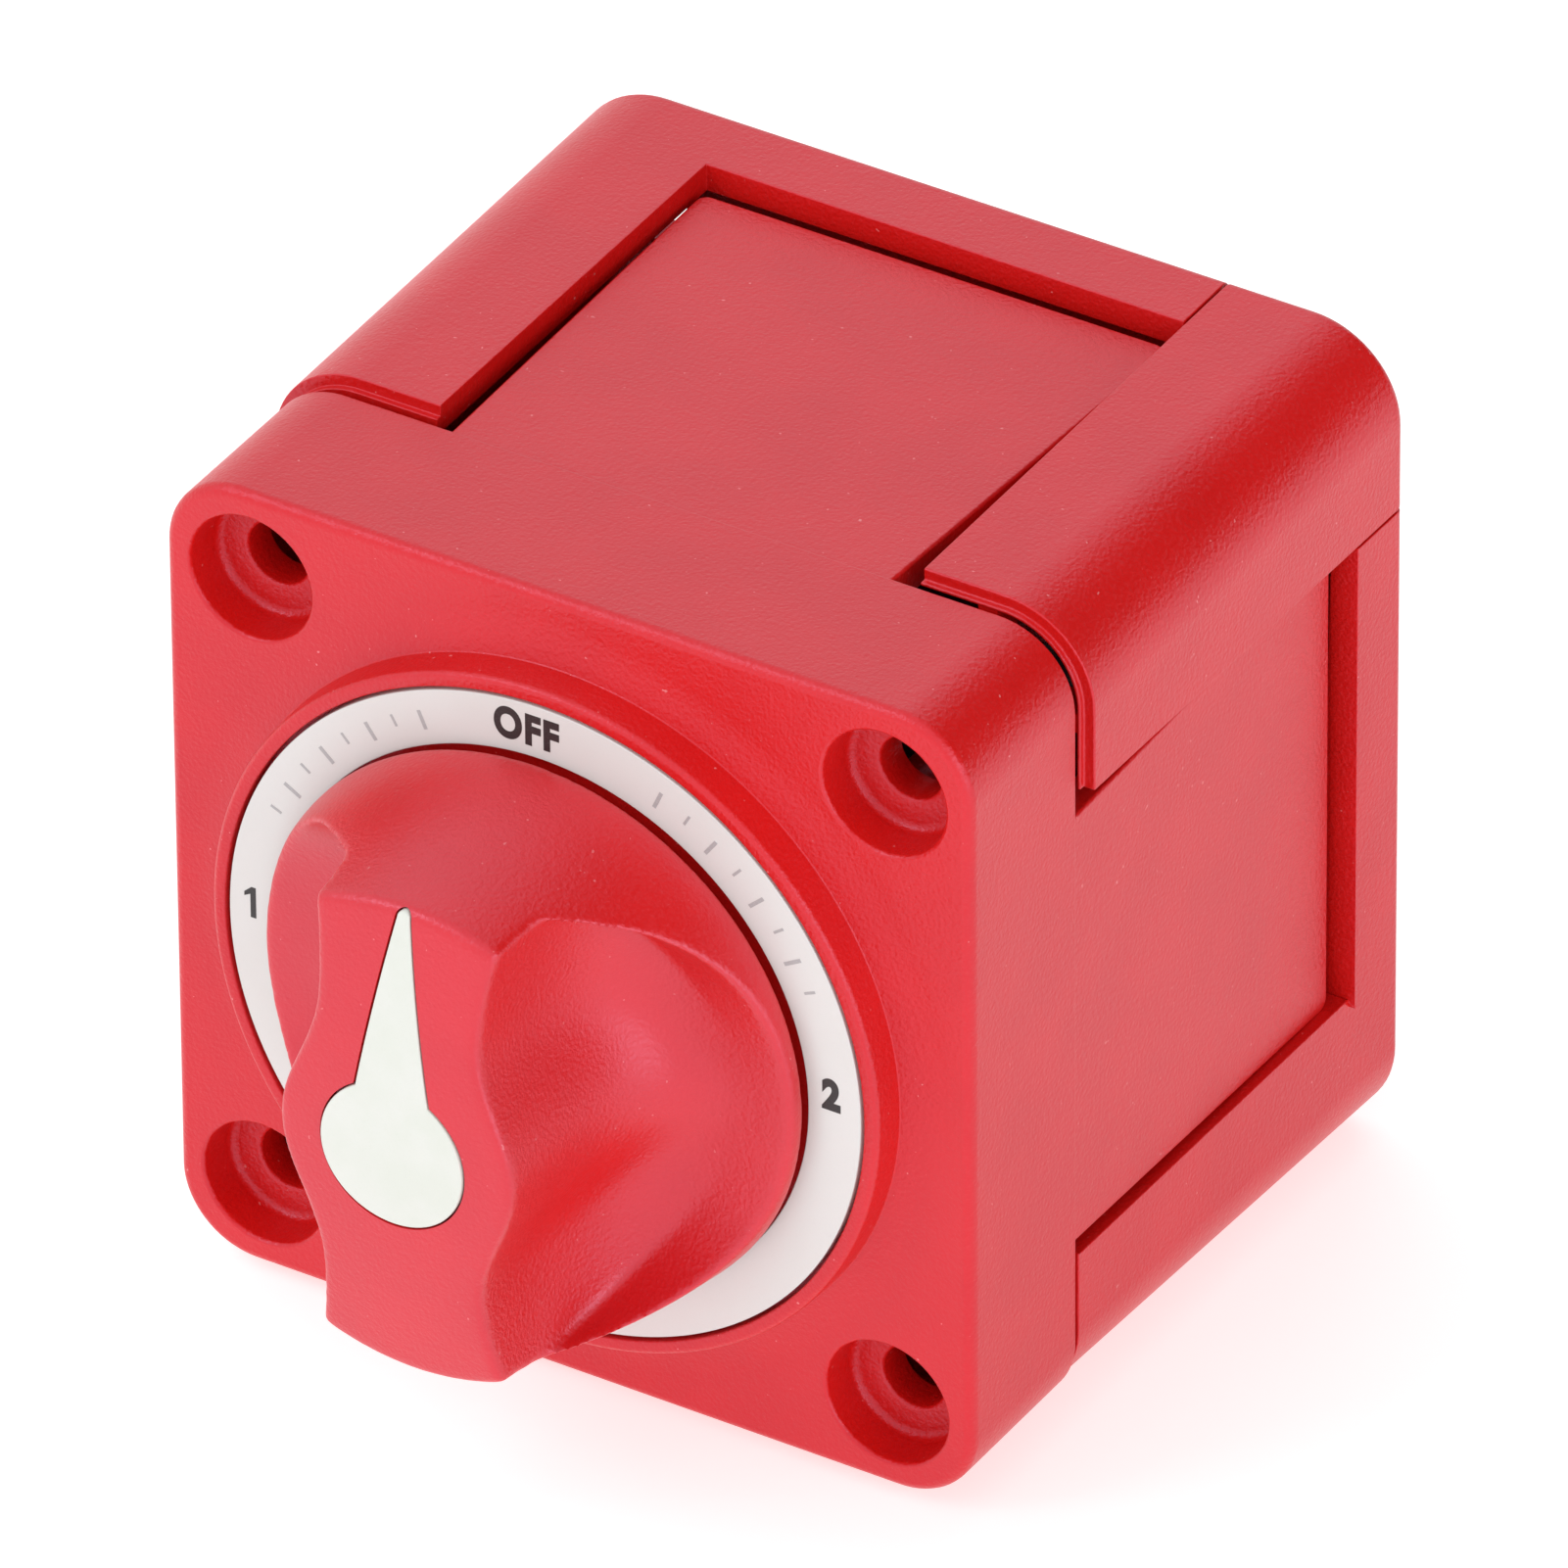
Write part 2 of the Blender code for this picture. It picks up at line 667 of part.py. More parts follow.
def spindle(material):
    seal_half = seal_groove / 2
    clip_centre = hub_rear + OVERLAP + clip_thickness / 2
    clip_half = clip_groove / 2
    front = knob_under + GAP
    rear = rotor_front - GAP
    profile = [(0.0, front), (spindle_radius, front),
               (spindle_radius, seal_place - seal_half), (groove_floor, seal_place - seal_half),
               (groove_floor, seal_place + seal_half), (spindle_radius, seal_place + seal_half),
               (spindle_radius, clip_centre - clip_half), (groove_floor, clip_centre - clip_half),
               (groove_floor, clip_centre + clip_half), (spindle_radius, clip_centre + clip_half),
               (spindle_radius, rear), (0.0, rear)]
    body = add_object("spindle", turned(profile, SMALL), material)
    half = spindle_square
    join(body, add_object("spindle_front_square", box(-half, half, -spindle_front,
                                                      front + OVERLAP, -half, half)))
    join(body, add_object("spindle_rear_square", box(-half, half, rear - OVERLAP,
                                                     spindle_rear, -half, half)))
    screw_end = knob_screw_ledge - GAP + knob_screw_length
    cut(body, add_object("spindle_tapped_hole", disc(knob_screw_radius + GAP,
                                                     -spindle_front - OVERLAP,
                                                     screw_end + OVERLAP, TINY)))
    shade(body)
    return body


def spindle_seal(material):
    middle = (groove_floor + spindle_radius + GAP) / 2
    section = [(middle + seal_section * math.cos(a), seal_place + seal_section * math.sin(a))
               for a in (math.pi / 3 * k for k in range(6))]
    seal = add_object("spindle_seal", turned(section, SMALL), material)
    shade(seal, 60.0)
    return seal


def spindle_clip(material):
    """An open retaining ring behind the hub."""
    inner = groove_floor + GAP
    y0 = hub_rear + OVERLAP
    ring = sector(inner, clip_radius, -math.pi / 2 + clip_mouth, 3 * math.pi / 2 - clip_mouth,
                  SMALL)
    clip = add_object("spindle_clip", prism(ring, y0, y0 + clip_thickness), material)
    shade(clip)
    return clip


def rotor(material):
    profile = [(0.0, rotor_front), (rotor_radius - rotor_edge, rotor_front),
               (rotor_radius, rotor_front + rotor_edge), (rotor_radius, rotor_rear - rotor_edge),
               (rotor_radius - rotor_edge, rotor_rear), (0.0, rotor_rear)]
    body = add_object("rotor", turned(profile, MEDIUM), material)
    lug = sector(stop_inner, stop_outer, math.pi / 2 - stop_half_angle,
                 math.pi / 2 + stop_half_angle)
    lug_front = hub_rear - 2 * OVERLAP
    join(body, add_object("rotor_lug", prism(lug, lug_front, rotor_front + OVERLAP)))
    half = spindle_square + GAP
    cut(body, add_object("rotor_socket", box(-half, half, rotor_front - OVERLAP, socket_rear,
                                             -half, half)))
    cut(body, add_object("rotor_spring_pocket", disc(spring_pocket, pocket_front,
                                                     rotor_rear + OVERLAP, SMALL)))
    for name, angle in detents():
        hole = bmesh.new()
        bmesh.ops.create_cone(hole, cap_ends=True, segments=TINY, radius1=ball_radius + GAP,
                              radius2=ball_radius + GAP, depth=rotor_radius)
        start = ball_pocket_start + rotor_radius / 2
        bmesh.ops.rotate(hole, verts=hole.verts, cent=(0, 0, 0),
                         matrix=Matrix.Rotation(math.pi / 2, 3, "Y"))
        moved(hole, x=start, y=rotor_middle)
        cut(body, add_object(f"rotor_pocket_{name}", rotated(hole, angle)))
    shade(body)
    return body


def detents():
    return (("upper", detent_angle), ("lower", detent_angle + math.pi))


def detent_balls(material):
    for name, angle in detents():
        bm = bmesh.new()
        bmesh.ops.create_uvsphere(bm, u_segments=TINY, v_segments=TINY // 2, radius=ball_radius)
        moved(bm, x=ball_reach - ball_radius, y=rotor_middle)
        shade(add_object(f"detent_ball_{name}", rotated(bm, angle), material), 80.0)


def coil(length, radius, turns, per_turn):
    """Points of a helix that starts at the origin and runs along +X."""
    count = turns * per_turn
    points = []
    for k in range(count + 1):
        a = 2 * math.pi * k / per_turn
        points.append(Vector((length * k / count, radius * math.cos(a), radius * math.sin(a))))
    return points


def detent_springs(material):
    start = ball_pocket_start + GAP + detent_wire
    end = ball_reach - 2 * ball_radius - detent_wire
    for name, angle in detents():
        turn = Matrix.Rotation(-angle, 3, "Y")
        points = [turn @ (point + Vector((start, rotor_middle, 0.0)))
                  for point in coil(end - start, detent_coil, detent_turns, 8)]
        add_curve(f"detent_spring_{name}", points, detent_wire, 0, material)


def contact_spring(material):
    start = pocket_front + GAP + contact_wire
    end = contact_front - GAP - contact_wire
    turn = Matrix.Rotation(math.pi / 2, 3, "Z")
    points = [turn @ point + Vector((0.0, start, 0.0))
              for point in coil(end - start, contact_coil, contact_turns, TINY)]
    add_curve("contact_spring", points, contact_wire, 1, material)


def moving_contact(material):
    """A copper spider with four arms, a sixth of a turn apart."""
    y0, y1 = contact_front, contact_rear
    body = add_object("moving_contact", disc(contact_hub, y0, y1, SMALL), material)
    for k in range(4):
        # No two arms share a plane, so that they join cleanly
        skin = contact_skin * (k + 1)
        arm = box(0.0, contact_reach, y0 + skin, y1 - skin, -contact_arm_half, contact_arm_half)
        join(body, add_object(f"moving_contact_arm_{k}", rotated(arm, math.pi / 3 * k)))
    shade(body)
    return body


# ---------------------------------------------------------------- base and terminals

def case_gasket(material):
    gasket = tube(chamber_radius + GAP, base_radius - GAP, gasket_front,
                  gasket_front + gasket_thickness, MEDIUM)
    shade(add_object("case_gasket", gasket, material))


def base_block(material):
    body = add_object("base_block", disc(base_radius, base_front, base_rear, MEDIUM), material)
    for k, (sx, sz) in enumerate(CORNERS):
        lug = disc(lug_radius, base_floor_front, base_floor_front + lug_thickness, SMALL,
                   sx * post_x, sz * post_z)
        join(body, add_object(f"base_lug_{k}", lug))
    for k in range(3):
        rib = box(0.0, base_radius - barrier_inset, base_rear - OVERLAP,
                  barrier_rear + barrier_skin * k, -barrier_half, barrier_half)
        turn = math.pi / 2 + k * 2 * math.pi / 3
        join(body, add_object(f"base_barrier_{k}", rotated(rib, turn)))
    cut(body, add_object("base_room", disc(chamber_radius, base_front - OVERLAP,
                                           base_floor_front, MEDIUM)))
    groove_radius = ball_radius + detent_play
    groove_place = chamber_radius + detent_depth - groove_radius
    for k in range(4):
        groove = disc(groove_radius, rotor_front, rotor_rear, TINY, x=groove_place)
        cut(body, add_object(f"base_detent_{k}", rotated(groove, detent_angle + k * math.pi / 2)))
    for name, angle in TERMINAL_ANGLES.items():
        hole = disc(stud_radius + GAP, base_floor_front - OVERLAP, base_rear + OVERLAP, SMALL,
                    stud_circle * math.cos(angle), stud_circle * math.sin(angle))
        cut(body, add_object(f"base_hole_{name}", hole))
    for k, (sx, sz) in enumerate(CORNERS):
        hole = disc(case_screw_radius + GAP, base_floor_front - OVERLAP,
                    base_floor_front + lug_thickness + OVERLAP, TINY, sx * post_x, sz * post_z)
        cut(body, add_object(f"base_screw_hole_{k}", hole))
    shade(body)
    return body


def case_screws(material):
    seat = base_floor_front + lug_thickness + GAP
    tip = base_floor_front - case_screw_bite
    for k, (sx, sz) in enumerate(CORNERS):
        rear = seat + case_screw_head_height
        profile = [(0.0, tip), (case_screw_radius - screw_edge, tip),
                   (case_screw_radius, tip + case_screw_point), (case_screw_radius, seat),
                   (case_screw_head, seat), (case_screw_head, rear - screw_edge),
                   (case_screw_head - screw_edge, rear), (0.0, rear)]
        screw = moved(turned(profile, TINY), x=sx * post_x, z=sz * post_z)
        item = add_object(f"case_screw_{k + 1}", screw, material)
        cross_recess(item, sx * post_x, sz * post_z, rear - case_screw_slot_depth,
                     rear + OVERLAP, case_screw_slot, case_screw_slot_half)
        shade(item)


def terminals(stud_material, washer_material, nut_material):
    hole = stud_radius + GAP
    flange_front = base_floor_front - GAP - stud_flange_thickness
    pad_front = contact_rear + GAP
    for name, angle in TERMINAL_ANGLES.items():
        x = stud_circle * math.cos(angle)
        z = stud_circle * math.sin(angle)
        tip = stud_radius - stud_chamfer
        profile = [(0.0, pad_front), (tip, pad_front), (tip, flange_front),
                   (stud_flange, flange_front), (stud_flange, base_floor_front - GAP),
                   (stud_radius, base_floor_front - GAP), (stud_radius, stud_rear - stud_chamfer),
                   (tip, stud_rear), (0.0, stud_rear)]
        stud = moved(turned(profile, SMALL), x=x, z=z)
        shade(add_object(f"terminal_stud_{name}", stud, stud_material))

        washer = tube(hole, flat_washer_radius, flat_washer_front,
                      flat_washer_front + flat_washer_thickness, SMALL)
        shade(add_object(f"flat_washer_{name}", moved(washer, x=x, z=z), washer_material))

        half_slit = lock_washer_slit / 2 / stud_radius
        ring = sector(hole, lock_washer_radius, half_slit, 2 * math.pi - half_slit, SMALL)
        washer = prism(ring, lock_washer_front, lock_washer_front + lock_washer_thickness)
        shade(add_object(f"lock_washer_{name}", moved(washer, x=x, z=z), nut_material))

        nut = prism(circle(nut_corner, 6, turn=math.pi / 6), nut_front, nut_front + nut_height)
        item = add_object(f"terminal_nut_{name}", moved(nut, x=x, z=z), nut_material)
        bore = disc(hole, nut_front - OVERLAP, nut_front + nut_height + OVERLAP, SMALL, x, z)
        cut(item, add_object(f"nut_bore_{name}", bore))
        shade(item)


# ---------------------------------------------------------------- rear cover

def cover_shell(wall, y0, y1):
    """Outer form of the rear cover, or of its hollow when the wall is taken off."""
    front = rounded_square(cover_front_half - wall, cover_corner - wall)
    rear = rounded_square(cover_rear_half - wall, cover_corner - wall)
    return prism(front, y0, y1, rear)


def post_ribs(body, name, corner, with_tongues):
    """Ribs inside one corner post, one on each leg, clear of the mounting screw."""
    sx, sz = corner
    collar_inside = case_half - side_wall
    inner = collar_inside - GAP - tongue_wall
    rear = cover_front + rib_depth
    parts = [("web", 0.0, collar_inside + rib_bite, cover_front + rib_setback, rear)]
    if with_tongues:
        parts.append(("tongue", tongue_inset, collar_inside - GAP, tongue_front, rear - OVERLAP))
    for part, inset, outer, front, back in parts:
        start = window_half + rib_start + inset
        end = start + rib_length - 2 * inset
        inside = inner + inset / 3
        along = sorted((sx * start, sx * end))
        across = sorted((sz * inside, sz * outer))
        join(body, add_object(f"{name}_{part}_top", box(*along, front, back, *across)))
        along = sorted((sz * start, sz * end))
        across = sorted((sx * inside, sx * outer))
        join(body, add_object(f"{name}_{part}_side", box(*across, front, back, *along)))


def rear_cover(material):
    shell = cover_shell(0.0, cover_front, body_depth)
    round_edges(shell, body_depth, cover_edge, 2)
    body = add_object("rear_cover", shell, material)
    hollow = cover_shell(cover_wall, cover_front - OVERLAP, body_depth - cover_floor)
    cut(body, add_object("cover_hollow", hollow))

    # Open sides, which the panels of the front case close
    reach = 2 * cover_rear_half
    bar = box(-window_half, window_half, cover_front - CUT, rim_front, -reach, reach)
    cut(body, add_object("cover_windows_upright", bar))
    bar = box(-reach, reach, cover_front - CUT, rim_front, -window_half, window_half)
    cut(body, add_object("cover_windows_level", bar))

    # The corner that the loose cover closes
    zone = box(window_half - GAP, reach, cover_front - CUT, body_depth + CUT,
               window_half - GAP, reach)
    zone = add_object("cover_corner_zone", zone)
    core = cover_shell(cover_wall + GAP, cover_front - 2 * CUT, body_depth + 2 * CUT)
    cut(zone, add_object("cover_corner_core", core))
    cut(body, zone)

    # The ribs that hold the posts behind the collar
    for k, corner in enumerate(CORNERS[1:]):
        post_ribs(body, f"cover_post_{k}", corner, True)
    for k, (sx, sz) in enumerate(CORNERS):
        hole = disc(mount_hole, body_depth - cover_floor - OVERLAP, body_depth + OVERLAP, SMALL,
                    sx * mount_half, sz * mount_half)
        cut(body, add_object(f"cover_mount_hole_{k}", hole))
    shade(body)
    return body


def corner_cover(material):
    """The loose L-shaped cover over the upper right corner."""
    shell = cover_shell(0.0, cover_front, body_depth)
    round_edges(shell, body_depth, cover_edge, 2)
    body = add_object("corner_cover", shell, material)
    hollow = cover_shell(cover_wall, cover_front - OVERLAP, body_depth + OVERLAP)
    cut(body, add_object("corner_hollow", hollow))
    reach = 2 * cover_rear_half
    keep = box(window_half, reach, cover_front - CUT, body_depth + CUT, window_half, reach)
    combine(body, add_object("corner_zone", keep), "INTERSECT")
    post_ribs(body, "corner", (1, 1), False)
    shade(body)
    return body


# ---------------------------------------------------------------- the switch

clear_scene()
origin = bpy.data.objects.new("switch_origin", None)
bpy.context.collection.objects.link(origin)
origin.location = (0.0, -body_depth, 0.0)

red = plastic("red_plastic", (0.60, 0.018, 0.022), 0.42)
white = plastic("white_label", (0.82, 0.81, 0.79), 0.35)
glow = plastic("pointer_plastic", (0.80, 0.82, 0.72), 0.45)
black = plastic("black_plastic", (0.03, 0.03, 0.032), 0.5)
rubber = plastic("black_rubber", (0.02, 0.02, 0.02), 0.8)
copper = finish("copper", (0.72, 0.33, 0.19), 0.28, 1.0)
tinned = finish("tinned_copper", (0.70, 0.69, 0.66), 0.3, 1.0)
steel = finish("steel", (0.56, 0.57, 0.58), 0.32, 1.0)

front_case(red)
dial_label(white)
knob(red)
shade(pointer_body("pointer_insert", glow, 0.0, 0.0, pointer_thickness))
knob_screw(steel)
spindle(steel)
spindle_seal(rubber)
spindle_clip(steel)
rotor(black)
detent_balls(steel)
detent_springs(steel)
contact_spring(steel)
moving_contact(copper)
case_gasket(rubber)
base_block(black)
case_screws(steel)
terminals(tinned, tinned, steel)
rear_cover(red)
corner_cover(red)
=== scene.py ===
import json
import math

import bpy
from mathutils import Matrix, Vector

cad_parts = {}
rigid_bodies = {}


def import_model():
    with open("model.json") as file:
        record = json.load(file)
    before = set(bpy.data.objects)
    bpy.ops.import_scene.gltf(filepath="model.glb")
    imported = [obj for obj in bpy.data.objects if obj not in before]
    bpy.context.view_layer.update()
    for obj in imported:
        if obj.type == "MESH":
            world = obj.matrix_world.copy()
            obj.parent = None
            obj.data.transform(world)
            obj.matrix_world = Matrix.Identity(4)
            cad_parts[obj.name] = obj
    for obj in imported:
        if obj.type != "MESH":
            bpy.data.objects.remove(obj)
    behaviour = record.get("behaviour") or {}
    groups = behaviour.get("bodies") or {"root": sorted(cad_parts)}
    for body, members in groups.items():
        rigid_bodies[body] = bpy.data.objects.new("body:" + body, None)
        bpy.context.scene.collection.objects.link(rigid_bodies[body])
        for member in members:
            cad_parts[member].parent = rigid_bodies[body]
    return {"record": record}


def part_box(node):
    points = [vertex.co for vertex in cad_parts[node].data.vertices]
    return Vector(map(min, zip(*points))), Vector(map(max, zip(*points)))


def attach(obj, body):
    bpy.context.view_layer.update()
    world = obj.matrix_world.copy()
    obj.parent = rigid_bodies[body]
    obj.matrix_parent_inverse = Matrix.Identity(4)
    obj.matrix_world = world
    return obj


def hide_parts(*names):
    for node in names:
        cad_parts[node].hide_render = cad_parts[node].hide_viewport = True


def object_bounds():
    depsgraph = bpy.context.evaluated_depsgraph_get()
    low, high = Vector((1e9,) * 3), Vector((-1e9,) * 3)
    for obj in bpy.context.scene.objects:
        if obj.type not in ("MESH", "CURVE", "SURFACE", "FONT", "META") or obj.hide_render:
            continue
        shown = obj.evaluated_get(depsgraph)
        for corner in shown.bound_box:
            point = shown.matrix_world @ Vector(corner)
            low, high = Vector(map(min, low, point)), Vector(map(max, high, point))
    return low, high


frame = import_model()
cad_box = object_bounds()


# ---------------------------------------------------------------- camera
# Seen from the upper right, from two metres off through a long lens, so that the edges of the
# case stay almost parallel.
MM = 0.001
azimuth = math.radians(31.74)
elevation = math.radians(34.425)
tilt = math.radians(-0.445)
camera_distance = 2.0
camera_lens = 620.8
camera_sensor = 36.0
aim_point = Vector((0.0, -33.0, 0.0)) * MM
aim_right = 1.66 * MM
aim_up = 2.12 * MM

backwards = Vector((math.sin(azimuth) * math.cos(elevation),
                    -math.cos(azimuth) * math.cos(elevation), math.sin(elevation)))
level_right = Vector((math.cos(azimuth), math.sin(azimuth), 0.0))
level_up = backwards.cross(level_right)
right = math.cos(tilt) * level_right + math.sin(tilt) * level_up
up = math.cos(tilt) * level_up - math.sin(tilt) * level_right
camera_place = aim_point + aim_right * right + aim_up * up + camera_distance * backwards
camera_data = bpy.data.cameras.new("camera")
camera_data.lens = camera_lens
camera_data.sensor_width = camera_sensor
camera_data.clip_end = 20.0
camera = bpy.data.objects.new("camera", camera_data)
bpy.context.scene.collection.objects.link(camera)
camera_turn = Matrix((right, up, backwards)).transposed().to_4x4()
camera.matrix_world = Matrix.Translation(camera_place) @ camera_turn
bpy.context.scene.camera = camera


# ---------------------------------------------------------------- studio
# A white tent: soft light from all round, a little more over the left shoulder and behind on the
# left. The tent's door stands open behind on the right, so round corners there stay deep red.
def soft_box(name, direction, distance, size, strength):
    data = bpy.data.lights.new(name, "AREA")
    data.shape = "SQUARE"
    data.size = size
    data.energy = strength * size * size * math.pi
    lamp = bpy.data.objects.new(name, data)
    bpy.context.scene.collection.objects.link(lamp)
    towards = Vector(direction).normalized()
    lamp.location = towards * distance
    lamp.rotation_euler = towards.to_track_quat("Z", "Y").to_euler()


soft_box("box_over_shoulder", (-0.50, -0.60, 0.75), 1.5, 0.55, 3.8)
soft_box("box_behind", (-0.43, 0.70, 0.62), 1.5, 1.1, 0.35)
soft_box("box_right", (1.0, -0.32, 0.22), 1.5, 1.2, 2.1)

tent_strength = 0.98
door_strength = 0.03
door_edge, door_middle = 0.45, 0.85
door_direction = Vector((0.72, 0.56, 0.38)).normalized()
world = bpy.data.worlds.new("tent")
world.use_nodes = True
tent = world.node_tree
direction = tent.nodes.new("ShaderNodeTexCoord")
facing = tent.nodes.new("ShaderNodeVectorMath")
facing.operation = "DOT_PRODUCT"
facing.inputs[1].default_value = door_direction
opening = tent.nodes.new("ShaderNodeMapRange")
opening.interpolation_type = "SMOOTHSTEP"
opening.inputs["From Min"].default_value = door_edge
opening.inputs["From Max"].default_value = door_middle
opening.inputs["To Min"].default_value = tent_strength
opening.inputs["To Max"].default_value = door_strength
tent.links.new(direction.outputs["Generated"], facing.inputs[0])
tent.links.new(facing.outputs["Value"], opening.inputs["Value"])
tent.links.new(opening.outputs["Result"], tent.nodes["Background"].inputs["Strength"])
tent.nodes["Background"].inputs["Color"].default_value = (1.0, 1.0, 1.0, 1.0)
bpy.context.scene.world = world
bpy.context.scene.view_settings.view_transform = "Standard"


# ---------------------------------------------------------------- table
# The switch stands on a matt white board with the faintest tooth, lit a little from below. It
# is only there for the picture and is not part of the switch.
def release():
    """Nothing stays selected, so that the next operator acts on its own piece only."""
    bpy.ops.object.select_all(action="DESELECT")


def settle(name):
    """Names the primitive that was just added and puts its place into its mesh."""
    piece = bpy.context.active_object
    piece.name = name
    piece.data.name = name
    bpy.ops.object.transform_apply(location=True, rotation=True, scale=True)
    return piece


class Signal:
    """A socket of a shader, so that sums and products are written as formulas."""

    def __init__(self, recipe, socket):
        self.recipe = recipe
        self.socket = socket

    def math(self, operation, first, second):
        return self.recipe.node("ShaderNodeMath", {"operation": operation}, {0: first, 1: second})

    def __add__(self, other):
        return self.math("ADD", self, other)

    __radd__ = __add__

    def __mul__(self, other):
        return self.math("MULTIPLY", self, other)

    __rmul__ = __mul__


class Recipe:
    """A material under construction."""

    def __init__(self, name):
        self.material = bpy.data.materials.new(name)
        self.material.use_nodes = True
        self.tree = self.material.node_tree
        self.tree.nodes.clear()
        self.place = self.node("ShaderNodeTexCoord", {}, {}, "Object")

    def node(self, kind, settings, inputs, output=0):
        node = self.tree.nodes.new(kind)
        for name, value in settings.items():
            setattr(node, name, value)
        for name, value in inputs.items():
            if isinstance(value, Signal):
                self.tree.links.new(value.socket, node.inputs[name])
            else:
                node.inputs[name].default_value = value
        return Signal(self, node.outputs[output])

    def noise(self, size, detail=2.0, rough=0.5, place=None):
        """Noise whose features are about size across."""
        return self.node("ShaderNodeTexNoise", {}, {
            "Vector": place or self.place, "Scale": 1.0 / size, "Detail": detail,
            "Roughness": rough}, "Fac")

    def cells(self, size):
        return self.node("ShaderNodeTexVoronoi", {}, {
            "Vector": self.place, "Scale": 1.0 / size, "Randomness": 1.0}, "Distance")

    def step(self, signal, low, high):
        """0 below low, 1 over high, smooth in between."""
        return self.node("ShaderNodeMapRange", {"interpolation_type": "SMOOTHSTEP"}, {
            "Value": signal, "From Min": low, "From Max": high})

    def blend(self, share, first, second):
        return self.node("ShaderNodeMix", {"data_type": "RGBA"}, {
            "Factor": share, 6: (*first, 1.0) if isinstance(first, tuple) else first,
            7: (*second, 1.0) if isinstance(second, tuple) else second}, 2)

    def bump(self, height, depth):
        return self.node("ShaderNodeBump", {}, {"Height": height, "Distance": depth,
                                                "Strength": 1.0})

    def finish(self, **sockets):
        """Ends in a Principled shader; an underscore in a name stands for a space."""
        inputs = {name.replace("_", " "): value for name, value in sockets.items()}
        shader = self.node("ShaderNodeBsdfPrincipled", {}, inputs)
        output = self.tree.nodes.new("ShaderNodeOutputMaterial")
        self.tree.links.new(shader.socket, output.inputs["Surface"])
        return self.material


def table_board():
    recipe = Recipe("table_board")
    tooth = recipe.noise(1.5 * MM, 4.0)
    colour = recipe.blend(recipe.noise(90 * MM), (0.62, 0.62, 0.62), (0.65, 0.65, 0.65))
    return recipe.finish(Base_Color=colour, Roughness=tooth * 0.1 + 0.7,
                         Emission_Color=(1.0, 1.0, 1.0, 1.0), Emission_Strength=0.62,
                         Normal=recipe.bump(tooth, 0.02 * MM))


table_size = 6.0
table_gap = 0.05 * MM
release()
bpy.ops.mesh.primitive_plane_add(size=table_size, location=(0, 0, cad_box[0][2] - table_gap))
table = settle("table")
table.data.materials.append(table_board())


# ---------------------------------------------------------------- front case
# The front case is one moulding in red nylon: a square collar with a raised round bezel, four
# corner bosses with counterbored holes, and four side panels that run back to the rear cover.
# Its tool was spark eroded, so the flats have a fine even grain that sparkles on round edges.
face = -60.0 * MM
case_half = 34.5 * MM
case_corner = 6.5 * MM
collar_depth = 14.8 * MM
side_wall = 2.5 * MM
front_wall = 3.0 * MM
bezel_radius = 28.75 * MM
bezel_rise = 3.65 * MM
cove_outer = 32.6 * MM
cove_width = 3.75 * MM
cove_rise = 0.62 * MM
hole_place = 27.1 * MM
boss_radius = 7.0 * MM
chamber_radius = 26.0 * MM
room_inner, room_outer = 9.5 * MM, 22.5 * MM
room_front, room_rear = 0.3 * MM, 9.6 * MM
spindle_bore = 6.3 * MM
corners = ((1, 1), (-1, 1), (-1, -1), (1, -1))


def block(name, low, high):
    low, high = Vector(low), Vector(high)
    release()
    bpy.ops.mesh.primitive_cube_add(size=1.0, location=(low + high) / 2, scale=high - low)
    return settle(name)


def rod(name, radius, y0, y1, x=0.0, z=0.0, sides=96):
    release()
    bpy.ops.mesh.primitive_cylinder_add(vertices=sides, radius=radius, depth=y1 - y0,
                                        location=(x, (y0 + y1) / 2, z),
                                        rotation=(math.pi / 2, 0, 0))
    return settle(name)


def drawn(name, points, filled=False):
    """An outline, drawn by extruding one vertex from point to point; filled, it ends as a face."""
    release()
    bpy.ops.mesh.primitive_plane_add(size=MM, location=points[0])
    piece = settle(name)
    bpy.context.tool_settings.mesh_select_mode = (True, False, False)
    edit(piece)
    bpy.ops.mesh.select_all(action="SELECT")
    bpy.ops.mesh.merge(type="CENTER")
    for last, point in zip(points, points[1:]):
        step = Vector(point) - Vector(last)
        bpy.ops.mesh.extrude_region_move(TRANSFORM_OT_translate={"value": step})
    bpy.ops.mesh.select_all(action="SELECT")
    bpy.ops.mesh.remove_doubles(threshold=0.001 * MM)
    if filled:
        bpy.ops.mesh.select_all(action="SELECT")
        bpy.ops.mesh.edge_face_add()
    bpy.ops.object.mode_set(mode="OBJECT")
    return piece


def spun(name, profile, sides):
    """A body turned round the knob's axis from a profile of (radius, y) points.

    The profile runs from axis to axis, or is closed where it keeps clear of the axis.
    """
    points = [(r, y, 0.0) for r, y in profile]
    if profile[0][0] > 0.0:
        points.append(points[0])
    piece = drawn(name, points)
    edit(piece)
    bpy.ops.mesh.select_all(action="SELECT")
    bpy.ops.mesh.spin(steps=sides, angle=2 * math.pi, center=(0, 0, 0), axis=(0, 1, 0))
    bpy.ops.mesh.select_all(action="SELECT")
    bpy.ops.mesh.remove_doubles(threshold=0.001 * MM)
    bpy.ops.mesh.normals_make_consistent(inside=False)
    bpy.ops.object.mode_set(mode="OBJECT")
    return piece


def arc(r, y, radius, start, end, count=6):
    """Points of a round stretch of a profile, with its middle at (r, y)."""
    turns = [math.radians(start + (end - start) * k / count) for k in range(count + 1)]
    return [(r + radius * math.cos(a), y + radius * math.sin(a)) for a in turns]


